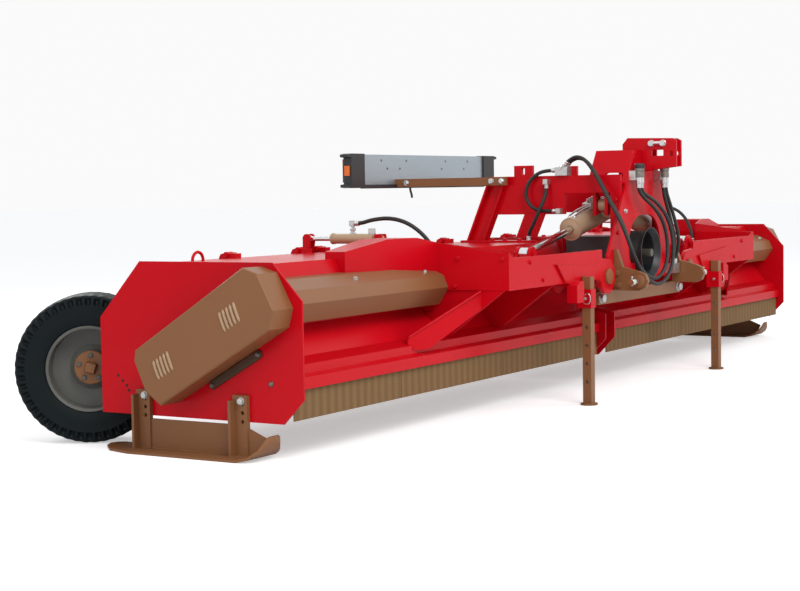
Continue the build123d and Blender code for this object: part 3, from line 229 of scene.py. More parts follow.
def mesh_from(bm, name):
    """A mesh of its own from a bmesh, with its faces turned outwards."""
    bmesh.ops.recalc_face_normals(bm, faces=bm.faces)
    mesh = bpy.data.meshes.new(name)
    bm.to_mesh(mesh)
    bm.free()
    return mesh


def bolts(name, places, way, size, body, material=None):
    """Hexagon heads on washers at places, all pointing one way; size is the thread's diameter."""
    bm = bmesh.new()
    for k, place in enumerate(places):
        turned(bm, place, way, ((size * 0.95, 0), (size * 1.05, size * 0.05), (size * 1.0, size * 0.18)), 20)
        head = [(size * r, size * h) for r, h in ((0.92, 0.18), (0.92, 0.72), (0.78, 0.82), (0.4, 0.84))]
        turned(bm, place, way, head, 6, start=0.4 * k)
    return piece_of(name, mesh_from(bm, name), material or zinc_plate, body)


zinc_plate = finish("zinc_plate", (0.62, 0.63, 0.62), (0.50, 0.51, 0.51), 0.32, 0.9, scale=40, edge=0.001)
# Near-black finish for the small holes: painted shade standing in for the dark inside of each bore.
painted_bore_shade = finish("painted_bore_shade", (0.012, 0.010, 0.010), (0.008, 0.007, 0.007), 0.8, scale=30, edge=0.001)


def holes(name, places, way, radius, body):
    """Small drilled holes, drawn as a narrow raised burr round a flat disc, all near-black: painted shade in
    place of an open bore.
    """
    bm = bmesh.new()
    for place in places:
        burr = ((radius, 0), (radius, 0.0012), (radius * 0.8, 0.0016), (radius * 0.7, 0.0008))
        turned(bm, place, way, burr, 14)
    return piece_of(name, mesh_from(bm, name), painted_bore_shade, body)


# Gearbox and drive guard: a painted cast-iron housing on the pivot beam with a splined steel stub,
# inside a round black plastic guard that flares out in front of the tower's plate.
cast_iron = finish("cast_iron", (0.055, 0.055, 0.058), (0.035, 0.035, 0.037), 0.55, scale=9, depth=0.3)
black_plastic = finish("black_plastic", (0.022, 0.023, 0.025), (0.015, 0.016, 0.018), 0.42, scale=8)
worn_steel = finish("worn_steel", (0.26, 0.24, 0.22), (0.15, 0.12, 0.10), 0.45, 0.85, scale=12, depth=0.2)
dress(cast_iron, "gearbox")
dress(black_plastic, "drive_cone_guard", "lamp_housings")
spline_teeth = 20
stub_rings = []
for stub_y, stub_r in ((-0.691, 0.0226), (-0.694, 0.0242), (-0.857, 0.0242), (-0.861, 0.0226)):
    ring = []
    for k in range(spline_teeth * 4):
        r = stub_r if k % 4 < 2 else stub_r - 0.0016
        angle = 2 * pi * k / (spline_teeth * 4)
        ring.append((r * cos(angle), stub_y + END_MIDDLE, 0.8 + r * sin(angle)))
    stub_rings.append(ring)
bm = bmesh.new()
rings_to(bm, stub_rings)
splines = mesh_from(bm, "drive_stub_splines")
piece_of("drive_stub_splines", splines, worn_steel, "centre_frame")


# Tower and hitch: the front plate's screws, the stored top-link pin in the clevis, the lower-link pins
# in hard chrome with their rings, and the end screws of the cross bar. All of it is bolted or pushed in.
def rod(name, start, end, radius, material, body, slot, sides=20):
    """A round pin with chamfered ends."""
    bm = bmesh.new()
    way = Vector(end) - Vector(start)
    soft = radius * 0.2
    profile = ((radius - soft, 0), (radius, soft), (radius, way.length - soft), (radius - soft, way.length))
    turned(bm, start, way, profile, sides)
    return piece_of(name, mesh_from(bm, name), material, body)


chrome = finish("hard_chrome", (0.80, 0.81, 0.82), (0.70, 0.71, 0.72), 0.12, metal=1.0, scale=20, edge=0.001)
dress(chrome, *both("fold_ram_rod", "door_ram_rod"))
front_face = -0.815 + END_MIDDLE
pin_start = (-0.052, -0.968 + END_MIDDLE, 1.452)
pin_end = (-0.052, -0.868 + END_MIDDLE, 1.452)
rod("stored_top_pin", pin_start, pin_end, 0.013, chrome, "centre_frame", "fitting_steel")
bm = bmesh.new()
for grip_y in (-0.955, -0.882):
    turned(bm, (-0.045, grip_y + END_MIDDLE, 1.452), (-1, 0, 0),
           ((0.02, -0.001), (0.02, 0.006), (0.017, 0.008), (0.017, 0.021)), 18)
piece_of("top_pin_clips", mesh_from(bm, "top_pin_clips"), zinc_plate, "centre_frame")
for s in (-1, 1):
    side = "left" if s < 0 else "right"
    link_start = (s * 0.483, -0.97 + END_MIDDLE, 0.655)
    link_end = (s * 0.5772, -0.97 + END_MIDDLE, 0.655)
    rod(f"{side}_link_pin_sleeve", link_start, link_end, 0.0188, chrome, "centre_frame", "fitting_steel", 28)
    bm = bmesh.new()
    pin_shape = ((0.0035, 0), (0.0045, 0.002), (0.0045, 0.048), (0.008, 0.050), (0.008, 0.056))
    turned(bm, (s * 0.560, -0.97 + END_MIDDLE, 0.632), (0, 0, 1), pin_shape, 12)
    lynch_pin = mesh_from(bm, f"{side}_lynch_pin")
    piece_of(f"{side}_lynch_pin", lynch_pin, zinc_plate, "centre_frame")
    bar_end = [(s * 0.585, -0.79 + END_MIDDLE, 0.5625)]
    bolts(f"{side}_cross_bar_bolts", bar_end, (0, -1, 0), 0.03, "centre_frame")
    bracket_face = [(s * 0.458, y + END_MIDDLE, z) for y, z in ((-0.835, 0.70), (-0.845, 0.632))]
    bolts(f"{side}_bracket_bolts", bracket_face, (s, 0, 0), 0.018, "centre_frame", beige_enamel)
    plate_edge = [(s * x, front_face, z) for x, z in ((0.40, 0.93), (0.50, 0.72))]
    bolts(f"{side}_front_plate_bolts", plate_edge, (0, -1, 0), 0.012, "centre_frame", red_enamel)
bolts("hose_clip_bolt", [(-0.29, front_face, 1.055)], (0, -1, 0), 0.014, "centre_frame")


# Arch frames: burned plate with a lock plate on top of the beam and a foot rail on the hood,
# screwed through to the pivot beam's column.
for s in (-1, 1):
    side = "left" if s < 0 else "right"
    column = [(s * 0.325, -0.77 + END_MIDDLE, z) for z in (0.80, 0.90, 1.0, 1.12)]
    bolts(f"{side}_arch_bolts", column, (s, 0, 0), 0.014, "centre_frame", red_enamel)
    rail = [(s * 0.352, y + END_MIDDLE, 0.8845) for y in (-0.15, -0.05, 0.035)]
    bolts(f"{side}_foot_bolts", rail, (0, 0, 1), 0.014, "centre_frame", red_enamel)


# Hoods: folded steel sheet in red enamel, with a lashing eye of bent round bar on each.
# The eye stands on the roof near the outer rear corner, welded on at both ends.
eye_half = 0.042
eye_bar = 0.008
eye_out = 2.885
hood_top = 0.872
for s in (-1, 1):
    side = "left" if s < 0 else "right"
    bm = bmesh.new()
    rings = []
    for k in range(17):
        angle = pi * k / 16
        out = Vector((cos(angle), 0, sin(angle)))
        middle = Vector((s * eye_out, 0.315 + END_MIDDLE, hood_top)) + out * eye_half
        around = [2 * pi * j / 10 for j in range(10)]
        rings.append([middle + (out * cos(a) + Vector((0, sin(a), 0))) * eye_bar for a in around])
    rings_to(bm, rings)
    lashing_eye = mesh_from(bm, f"{side}_lashing_eye")
    piece_of(f"{side}_lashing_eye", lashing_eye, red_enamel, f"{side}_wing", 50)


# End plates: a drilled plate at each end of a wing. Outside it carries the belt tensioner's strip,
# a plug and a short slanting row of small holes below the cover.
tensioner_width = 0.04
# The tensioner strip's brown is darkened to the shade the belt cover casts on it: painted shade.
strip_brown_painted_shade = finish("strip_brown_painted_shade", (0.070, 0.036, 0.017), (0.056, 0.029, 0.014), 0.42, specular=0.3)
for s in (-1, 1):
    side = "left" if s < 0 else "right"
    out_x = s * 3.300
    strip_start = Vector((out_x, -0.085 + END_MIDDLE, 0.325))
    strip_end = Vector((out_x, -0.345 + END_MIDDLE, 0.475))
    run = (strip_end - strip_start).normalized()
    across = Vector((1, 0, 0)).cross(run)
    bm = bmesh.new()
    rings = []
    for lift, inset in ((0, 0), (0.008, 0), (0.011, 0.003)):
        half = tensioner_width / 2 - inset
        ring = []
        for k in range(24):
            angle = 2 * pi * k / 24
            middle = strip_end if cos(angle) > 0 else strip_start
            round_end = run * half * cos(angle) + across * half * sin(angle)
            ring.append(middle + round_end + Vector((s * lift, 0, 0)))
        rings.append(ring)
    rings_to(bm, rings)
    strip = mesh_from(bm, f"{side}_tensioner_strip")
    piece_of(f"{side}_tensioner_strip", strip, strip_brown_painted_shade, f"{side}_wing")
    strip_bolts = [strip_start + Vector((s * 0.011, 0, 0)), strip_end + Vector((s * 0.011, 0, 0))]
    bolts(f"{side}_tensioner_bolts", strip_bolts, (s, 0, 0), 0.011, f"{side}_wing", worn_steel)
    bm = bmesh.new()
    turned(bm, (out_x, -0.411 + END_MIDDLE, 0.344), (s, 0, 0),
           ((0.013, 0), (0.013, 0.004), (0.010, 0.006), (0.010, 0.011), (0.006, 0.013)), 20)
    plug = mesh_from(bm, f"{side}_end_plug")
    piece_of(f"{side}_end_plug", plug, worn_steel, f"{side}_wing")
    hole_places = ((0.481, 0.345), (0.454, 0.321), (0.430, 0.300), (0.418, 0.277))
    row = [(out_x, y + END_MIDDLE, z) for y, z in hole_places]
    holes(f"{side}_end_holes", row, (s, 0, 0), 0.007, f"{side}_wing")


# Belt cover: a deep pressed steel cover with two groups of five vent louvres, pressed outwards
# so that each stands proud of the face with its open side to the rear.
louvre_long = 0.094
louvre_wide = 0.013
louvre_high = 0.007
louvre_run = Vector((0, 0.375, 0.927))
louvre_step = Vector((0, 0.0198, -0.0117))
# The louvres are pressed from the cover's beige sheet but coloured much lighter: a painted highlight on their
# raised lips.
louvre_painted_highlight = finish("louvre_edge_painted_highlight", (0.44, 0.29, 0.17), (0.38, 0.24, 0.14), 0.34, specular=0.45, scale=8)
for s in (-1, 1):
    side = "left" if s < 0 else "right"
    bm = bmesh.new()
    for group_y, group_z in ((0.085, 0.423), (-0.297, 0.654)):
        for k in range(5):
            middle = Vector((s * 3.450, group_y + END_MIDDLE, group_z)) + louvre_step * (k - 2)
            over = louvre_step.normalized()
            rings = []
            for j in range(9):
                u = -1 + j / 4
                bow = max(0.0, 1 - u ** 4) ** 0.5
                spine = middle + louvre_run * (u * louvre_long / 2)
                ring = []
                for side_step, lift in ((-0.5, 0), (-0.35, 0.75), (0.1, 1.0), (0.45, 0.8), (0.5, 0)):
                    up = Vector((s * louvre_high * lift * bow, 0, 0))
                    ring.append(spine + over * (side_step * louvre_wide * (0.5 + 0.5 * bow)) + up)
                rings.append(ring)
            rings_to(bm, rings)
    louvres = mesh_from(bm, f"{side}_louvres")
    piece_of(f"{side}_louvres", louvres, louvre_painted_highlight, f"{side}_wing", 50)


# Skid shoes: a bent steel wear plate with an upright web and two drilled posts welded to it,
# held to the end plate by one screw in each post.
for s in (-1, 1):
    side = "left" if s < 0 else "right"
    posts = [(s * 3.322, y + END_MIDDLE, z) for y, z in ((0.305, 0.262), (-0.255, 0.262))]
    bolts(f"{side}_skid_bolts", posts, (s, 0, 0), 0.018, f"{side}_wing")
    bm = bmesh.new()
    rings = []
    for k in range(41):
        y = -0.24 + 0.54 * k / 40 + END_MIDDLE
        r = 0.006 + 0.0012 * sin(k * 2.4)
        rings.append([(s * (3.314 + r * cos(a)), y, 0.012 + r * sin(a)) for a in (0, 0.5, 1.1, 1.57)])
    rings_to(bm, rings)
    bead = mesh_from(bm, f"{side}_skid_weld")
    piece_of(f"{side}_skid_weld", bead, beige_enamel, f"{side}_wing", 60)


# Carrier arms: box arms of folded plate on the hood with an end plate, a brace and ribs welded to it,
# all in the red enamel. The drive shaft's guard beyond them is a faceted sheet cover, screwed on.
def weld(name, points, radius, material, body):
    """A weld bead along straight runs, rippled by the torch."""
    bm = bmesh.new()
    for start, end in zip(points, points[1:]):
        start, end = Vector(start), Vector(end)
        way = end - start
        turn = way.to_track_quat("Z", "Y")
        count = max(4, int(way.length / 0.006))
        rings = []
        for k in range(count + 1):
            r = radius * (1 + 0.18 * sin(k * 2.1))
            middle = start + way * (k / count)
            around = [2 * pi * j / 6 for j in range(6)]
            rings.append([middle + turn @ Vector((r * cos(a), r * sin(a), 0)) for a in around])
        rings_to(bm, rings)
    return piece_of(name, mesh_from(bm, name), material, body, 60)


for s in (-1, 1):
    side = "left" if s < 0 else "right"
    wing = f"{side}_wing"
    face_y = -0.850 + END_MIDDLE
    arm_face = [(s * x, face_y, z) for x, z in ((1.60, 0.815), (1.45, 0.715))]
    bolts(f"{side}_arm_bolts", arm_face, (0, -1, 0), 0.012, wing, red_enamel)
    # columns: place across the machine, along it and up, on the outer face of the end plate
    end_face = [(s * 1.8395, -0.815, 0.841), (s * 1.847, -0.559, 0.843), (s * 1.847, -0.539, 0.700)]
    end_places = [(x, y + END_MIDDLE, z) for x, y, z in end_face]
    bolts(f"{side}_arm_end_bolts", end_places, (s, 0, 0), 0.013, wing, red_enamel)
    guard_way = Vector((0, -0.416, 0.909))
    guard_places = [(s * x, -0.427 + END_MIDDLE, 0.7785) for x in (1.96, 2.62, 3.20)]
    bolts(f"{side}_guard_bolts", guard_places, guard_way, 0.013, wing)
    for x in (1.256, 1.832):
        seam = ((s * x, -0.815 + END_MIDDLE, 0.679), (s * x, -0.50 + END_MIDDLE, 0.445))
        weld(f"{side}_rib_weld_{int(x * 1000)}", seam, 0.006, red_enamel, wing)
    brace_seam = ((s * 1.846, -0.690 + END_MIDDLE, 0.675), (s * 2.248, -0.496 + END_MIDDLE, 0.467))
    weld(f"{side}_brace_weld", brace_seam, 0.007, red_enamel, wing)
    ear_pin = Vector((s * 0.62, -0.868 + END_MIDDLE, 0.69))
    bm = bmesh.new()
    turned(bm, ear_pin, (0, -1, 0), ((0.044, -0.018), (0.044, -0.006), (0.040, -0.001), (0.012, 0.001)), 28)
    pin_head = mesh_from(bm, f"{side}_hinge_pin_head")
    piece_of(f"{side}_hinge_pin_head", pin_head, beige_enamel, wing)


# Parking legs: a drilled square tube in a red sleeve, held by a zinc-plated pin with a spring clip. The pin
# is pulled before the leg slides, so it is drawn only beside the leg.
# The sleeve hangs on a tapered doubling plate on the arm's face, beside a small box for its spanner.
def slab(bm, outline, way):
    """A flat plate: an outline of points, carried along way, with a narrow chamfer on its far side."""
    way = Vector(way)
    points = [Vector(point) for point in outline]
    middle = sum(points, Vector()) / len(points)
    soft = 0.002
    far = [point + way * 0.8 for point in points]
    face = [point + way + (middle - point).normalized() * soft for point in points]
    rings_to(bm, (points, far, face))


for s in (-1, 1):
    side = "left" if s < 0 else "right"
    wing = f"{side}_wing"
    leg_y = -0.8933 + END_MIDDLE
    # columns: name and both ends of the pin's parts beside the leg
    for part, near, far in (("inner", 0.938, 0.9595), ("outer", 1.0105, 1.035)):
        pin_ends = ((s * near, leg_y, 0.59), (s * far, leg_y, 0.59))
        rod(f"{side}_leg_pin_{part}", *pin_ends, 0.0085, zinc_plate, wing, "fitting_steel")
    clip = bpy.data.curves.new(f"{side}_leg_clip", "CURVE")
    clip.dimensions = "3D"
    clip.bevel_depth = 0.0028
    clip.bevel_resolution = 3
    wire = clip.splines.new("NURBS")
    clip_points = [(1.030, 0, 0.61), (1.034, -0.02, 0.625), (1.036, -0.036, 0.605), (1.036, -0.036, 0.572),
                   (1.034, -0.015, 0.556), (1.032, 0.006, 0.566)]
    wire.points.add(len(clip_points) - 1)
    for point, (x, y, z) in zip(wire.points, clip_points):
        point.co = (s * x, leg_y + y, z, 1)
    wire.order_u = 3
    wire.use_endpoint_u = True
    clip.materials.append(zinc_plate)
    leg_clip = bpy.data.objects.new(f"{side}_leg_clip", clip)
    bpy.context.scene.collection.objects.link(leg_clip)
    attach(leg_clip, wing)
    arm_face_y = -0.850 + END_MIDDLE
    doubling = ((1.310, 0.790), (0.775, 0.750), (0.868, 0.640), (1.195, 0.682))
    bm = bmesh.new()
    slab(bm, [(s * x, arm_face_y, z) for x, z in doubling], (0, -0.014, 0))
    box_sides = ((1.075, 0.572), (1.165, 0.572), (1.165, 0.668), (1.120, 0.690), (1.075, 0.690))
    slab(bm, [(s * x, arm_face_y, z) for x, z in box_sides], (0, -0.062, 0))
    sleeve_plates = mesh_from(bm, f"{side}_sleeve_plates")
    piece_of(f"{side}_sleeve_plates", sleeve_plates, red_enamel, wing)


# Front flaps: three long panels of brown ribbed rubber belting, which stop stones.
# They hang side by side on one rod under the hood's front rail.
flap_rubber, flap_tree, flap_shader = shader_of("flap_rubber")
flap_shader.inputs["Roughness"].default_value = 0.7
flap_shader.inputs["Specular IOR Level"].default_value = 0.12
flap_place = flap_tree.nodes.new("ShaderNodeTexCoord")
flap_ribs = flap_tree.nodes.new("ShaderNodeTexWave")
flap_ribs.bands_direction = "X"
flap_ribs.inputs["Scale"].default_value = 5
flap_ribs.inputs["Distortion"].default_value = 0.6
flap_ribs.inputs["Detail"].default_value = 2
flap_tree.links.new(flap_place.outputs["Object"], flap_ribs.inputs["Vector"])
# The two tones follow the ribs, darker in each trough: painted shade along the corrugation, on top of the
# bump.
flap_rib_painted_shade = flap_tree.nodes.new("ShaderNodeValToRGB")
flap_rib_painted_shade.color_ramp.elements[0].color = (0.165, 0.096, 0.042, 1)
flap_rib_painted_shade.color_ramp.elements[1].color = (0.215, 0.127, 0.056, 1)
flap_tree.links.new(flap_ribs.outputs["Fac"], flap_rib_painted_shade.inputs["Fac"])
flap_tree.links.new(flap_rib_painted_shade.outputs["Color"], flap_shader.inputs["Base Color"])
flap_bump = flap_tree.nodes.new("ShaderNodeBump")
flap_bump.inputs["Strength"].default_value = 0.22
flap_bump.inputs["Distance"].default_value = 0.004
flap_tree.links.new(flap_ribs.outputs["Fac"], flap_bump.inputs["Height"])
flap_tree.links.new(flap_bump.outputs["Normal"], flap_shader.inputs["Normal"])
dress(flap_rubber, *both("front_flaps"))


# Rotors: a steel tube with rows of hammers, bare metal gone brown from crop and soil.
# Each turns in bearings in the two end plates of its wing.
dress(worn_steel, *both("rotor"))


# Road wheels: cross-ply implement tyres with a row of pockets in each shoulder and three grooves, on deep
# grey rims with a beige hub plate, five wheel nuts and a square axle cap. Each trails behind its swivel
# and stands swung outwards, as the machine was parked.
tyre_rubber = finish("tyre_rubber", (0.004, 0.008, 0.009), (0.003, 0.006, 0.007), 0.5, specular=0.14)
rim_grey = finish("rim_grey", (0.125, 0.125, 0.112), (0.090, 0.090, 0.080), 0.42, specular=0.3, scale=6)
dress(rim_grey, *both("rim"))
# columns: radius, place across, depth of the pockets
tyre_wall = (
    (0.206, 0.110, 0), (0.214, 0.121, 0), (0.232, 0.128, 0), (0.262, 0.131, 0), (0.292, 0.130, 0),
    (0.302, 0.1315, 0), (0.308, 0.1315, 0), (0.316, 0.1312, 0.013), (0.338, 0.127, 0.013),
    (0.346, 0.123, 0.003), (0.354, 0.117, 0.003), (0.361, 0.098, 0.003), (0.362, 0.072, 0.002),
    (0.362, 0.066, 0), (0.351, 0.061, 0), (0.351, 0.051, 0), (0.3625, 0.046, 0), (0.363, 0.012, 0),
    (0.352, 0.007, 0),
)
tread_steps = 192
parked_swing = radians(33)
for s in (-1, 1):
    side = "left" if s < 0 else "right"
    tyre_middle = Vector((s * 3.170, 0.757 + END_MIDDLE, 0.363))
    swing = Matrix.Rotation(-s * parked_swing, 3, "Z")
    outwards = swing @ Vector((s, 0, 0))
    bm = bmesh.new()
    rows = [(r, -x, deep) for r, x, deep in tyre_wall] + [(r, x, deep) for r, x, deep in tyre_wall[::-1]]
    rings = []
    for r, x, deep in rows:
        ring = []
        for k in range(tread_steps):
            angle = 2 * pi * k / tread_steps
            pocket = deep if k % 4 < 2 else 0.0
            radius = r - pocket * 0.5
            across = x - pocket if x > 0 else x + pocket
            ring.append(tyre_middle + swing @ Vector((across, radius * cos(angle), radius * sin(angle))))
        rings.append(ring)
    rings.append(rings[0])
    rings_to(bm, rings, closed=False)
    bmesh.ops.remove_doubles(bm, verts=bm.verts, dist=0.00001)
    tread = mesh_from(bm, f"{side}_tyre_tread")
    tyre = piece_of(f"{side}_tyre_tread", tread, tyre_rubber, f"{side}_wheel", 28)
    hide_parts(f"{side}_tyre")
    hub_face = tyre_middle + outwards * 0.043
    bm = bmesh.new()
    hub_shape = ((0.083, -0.030), (0.083, 0.004), (0.079, 0.008), (0.034, 0.008), (0.030, 0.012))
    turned(bm, hub_face, outwards, hub_shape, 40)
    axle_cap = ((0.036, 0.006), (0.036, 0.034), (0.031, 0.041), (0.012, 0.043))
    turned(bm, hub_face, outwards, axle_cap, 4, start=0.5)
    hub_plate = mesh_from(bm, f"{side}_hub_plate")
    piece_of(f"{side}_hub_plate", hub_plate, beige_enamel, f"{side}_wheel")
    nuts = []
    for k in range(5):
        angle = 2 * pi * k / 5 + 0.3
        nuts.append(hub_face + swing @ Vector((s * 0.006, 0.060 * cos(angle), 0.060 * sin(angle))))
    bolts(f"{side}_wheel_nuts", nuts, outwards, 0.013, f"{side}_wheel", rim_grey)
    bm = bmesh.new()
    lip = ((0.196, 0), (0.207, 0.003), (0.212, 0.009), (0.207, 0.013), (0.196, 0.010), (0.193, 0), (0.196, 0))
    turned(bm, tyre_middle + outwards * 0.104, outwards, lip, 64, closed=False)
    bmesh.ops.remove_doubles(bm, verts=bm.verts, dist=0.00001)
    rim_lip = mesh_from(bm, f"{side}_rim_lip")
    piece_of(f"{side}_rim_lip", rim_lip, rim_grey, f"{side}_wheel")


# Fold rams and door rams: barrels in a paler beige enamel. Each fold ram has a gland screwed into its mouth
# and carries a zinc-plated valve block and bent steel pipes, each door ram two stacked unions with an elbow.
pale_enamel = finish("pale_enamel", (0.47, 0.34, 0.21), (0.41, 0.29, 0.18), 0.34, specular=0.4)
dress(pale_enamel, *both("fold_ram_barrel", "door_ram_barrel"))


def pipe(name, points, radius, material, body):
    """A bent pipe along a smooth line."""
    curve = bpy.data.curves.new(name, "CURVE")
    curve.dimensions = "3D"
    curve.bevel_depth = radius
    curve.bevel_resolution = 4
    line = curve.splines.new("NURBS")
    line.points.add(len(points) - 1)
    for point, place in zip(line.points, points):
        point.co = (*place, 1)
    line.order_u = 3
    line.use_endpoint_u = True
    curve.materials.append(material)
    thing = bpy.data.objects.new(name, curve)
    bpy.context.scene.collection.objects.link(thing)
    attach(thing, body)
    return thing


for s, ram_y in ((-1, -0.520), (1, -0.660)):
    side = "left" if s < 0 else "right"
    body = f"{side}_fold_ram_barrel"
    base = Vector((-s * 0.240, ram_y + END_MIDDLE, 1.090))
    run = (Vector((s * 1.000, ram_y + END_MIDDLE, 0.830)) - base).normalized()
    top = Vector((0, -1, 0)).cross(run) if s < 0 else Vector((0, 1, 0)).cross(run)
    top = top if top.z > 0 else -top
    side_way = run.cross(top)
    block_at = base + run * 0.36 + top * 0.061
    bm = bmesh.new()
    rings = []
    for lift, inset in ((0.0, 0), (0.034, 0), (0.039, 0.005)):
        half_long, half_wide = 0.06 - inset, 0.03 - inset
        corners = ((1, 1), (1, -1), (-1, -1), (-1, 1))
        ring = []
        for a, b in corners:
            ring.append(block_at + run * half_long * a + side_way * half_wide * b + top * lift)
        rings.append(ring)
    rings_to(bm, rings)
    for a in (-0.035, 0.0, 0.035):
        union = ((0.013, 0), (0.013, 0.012), (0.009, 0.014), (0.009, 0.024))
        turned(bm, block_at + run * a + top * 0.036, top, union, 6)
    piece_of(f"{side}_ram_valve", mesh_from(bm, f"{side}_ram_valve"), zinc_plate, body)
    bm = bmesh.new()
    gland = ((0.0235, 0.674), (0.057, 0.674), (0.057, 0.676), (0.053, 0.678), (0.0235, 0.678),
             (0.0235, 0.674))
    turned(bm, base, run, gland, 40, closed=False)
    bmesh.ops.remove_doubles(bm, verts=bm.verts, dist=0.00001)
    piece_of(f"{side}_ram_gland", mesh_from(bm, f"{side}_ram_gland"), pale_enamel, body)
    for k, sideways in enumerate((-0.018, 0.018)):
        start = block_at + run * 0.055 + side_way * sideways + top * 0.018
        end = base + run * 0.640 + side_way * sideways + top * 0.058
        points = (start, start + run * 0.04, start + run * 0.10 + top * 0.003, end - run * 0.05 + top * 0.018,
                  end + top * 0.014, end)
        pipe(f"{side}_ram_pipe_{k}", points, 0.006, zinc_plate, body)
        start = block_at - run * 0.055 + side_way * sideways + top * 0.018
        end = base + run * 0.11 + side_way * sideways + top * 0.058
        points = (start, start - run * 0.03, start - run * 0.08 + top * 0.003, end + run * 0.04 + top * 0.018,
                  end + top * 0.014, end)
        pipe(f"{side}_ram_feed_{k}", points, 0.006, zinc_plate, body)
    body = f"{side}_door_ram_barrel"
    bm = bmesh.new()
    for union_y, elbow_z in ((0.060, 1.027), (-0.060, 0.985)):
        foot = Vector((s * 1.880, union_y + END_MIDDLE, 0.968))
        tall = elbow_z - 0.968
        turned(bm, foot, (0, 0, 1), ((0.016, 0), (0.016, 0.010), (0.0105, 0.012), (0.0105, tall)), 12)
        if tall > 0.03:
            turned(bm, foot, (0, 0, 1), ((0.014, 0.020), (0.016, 0.022), (0.016, 0.034), (0.014, 0.036)), 6)
        half = 0.0145
        square = ((1, 1), (-1, 1), (-1, -1), (1, -1))
        elbow = [(s * 1.880 + half * a, union_y + END_MIDDLE + half * b, elbow_z - half) for a, b in square]
        slab(bm, elbow, (0, 0, 2 * half))
    unions = mesh_from(bm, f"{side}_door_ram_unions")
    piece_of(f"{side}_door_ram_unions", unions, zinc_plate, body)


# Hydraulic couplings: zinc-plated holder blocks and manifold, with knurled sleeves and black dust caps
# on the quick couplings that stand in front of the tower.
dress(zinc_plate, "hose_couplers")
for k, x in enumerate((-0.200, -0.160, 0.180, 0.220)):
    bm = bmesh.new()
    sleeve = ((0.0175, 0), (0.0195, 0.003), (0.0195, 0.028), (0.0175, 0.031), (0.0175, 0.036),
              (0.0205, 0.039), (0.0205, 0.055), (0.018, 0.058))
    turned(bm, (x, -0.862 + END_MIDDLE, 1.250), (0, 0, 1), sleeve, 28)
    sleeve_mesh = mesh_from(bm, f"coupling_sleeve_{k}")
    piece_of(f"coupling_sleeve_{k}", sleeve_mesh, worn_steel, "centre_frame")
    bm = bmesh.new()
    cap = ((0.021, 0), (0.0225, 0.003), (0.0225, 0.022), (0.019, 0.028), (0.006, 0.030))
    turned(bm, (x, -0.862 + END_MIDDLE, 1.304), (0, 0, 1), cap, 24)
    cap_mesh = mesh_from(bm, f"coupling_cap_{k}")
    piece_of(f"coupling_cap_{k}", cap_mesh, black_plastic, "centre_frame")


# Hydraulic hoses: black wrapped rubber, 22 mm thick, crimped into zinc-plated ferrules at both ends.
# They run from the arch's manifold round the tower to its couplings, and from each door ram to its arm.
hose_rubber, hose_tree, hose_shader = shader_of("hose_rubber")
hose_shader.inputs["Roughness"].default_value = 0.5
hose_shader.inputs["Specular IOR Level"].default_value = 0.3
hose_place = hose_tree.nodes.new("ShaderNodeTexCoord")
hose_wrap = hose_tree.nodes.new("ShaderNodeTexNoise")
hose_wrap.inputs["Scale"].default_value = 90
hose_wrap.inputs["Detail"].default_value = 3
hose_tree.links.new(hose_place.outputs["Object"], hose_wrap.inputs["Vector"])
hose_tones = hose_tree.nodes.new("ShaderNodeValToRGB")
hose_tones.color_ramp.elements[0].color = (0.016, 0.016, 0.015, 1)
hose_tones.color_ramp.elements[1].color = (0.034, 0.034, 0.032, 1)
hose_tree.links.new(hose_wrap.outputs["Fac"], hose_tones.inputs["Fac"])
hose_tree.links.new(hose_tones.outputs["Color"], hose_shader.inputs["Base Color"])
hose_bump = hose_tree.nodes.new("ShaderNodeBump")
hose_bump.inputs["Strength"].default_value = 0.25
hose_bump.inputs["Distance"].default_value = 0.001
hose_tree.links.new(hose_wrap.outputs["Fac"], hose_bump.inputs["Height"])
hose_tree.links.new(hose_bump.outputs["Normal"], hose_shader.inputs["Normal"])
hose_r = 0.011
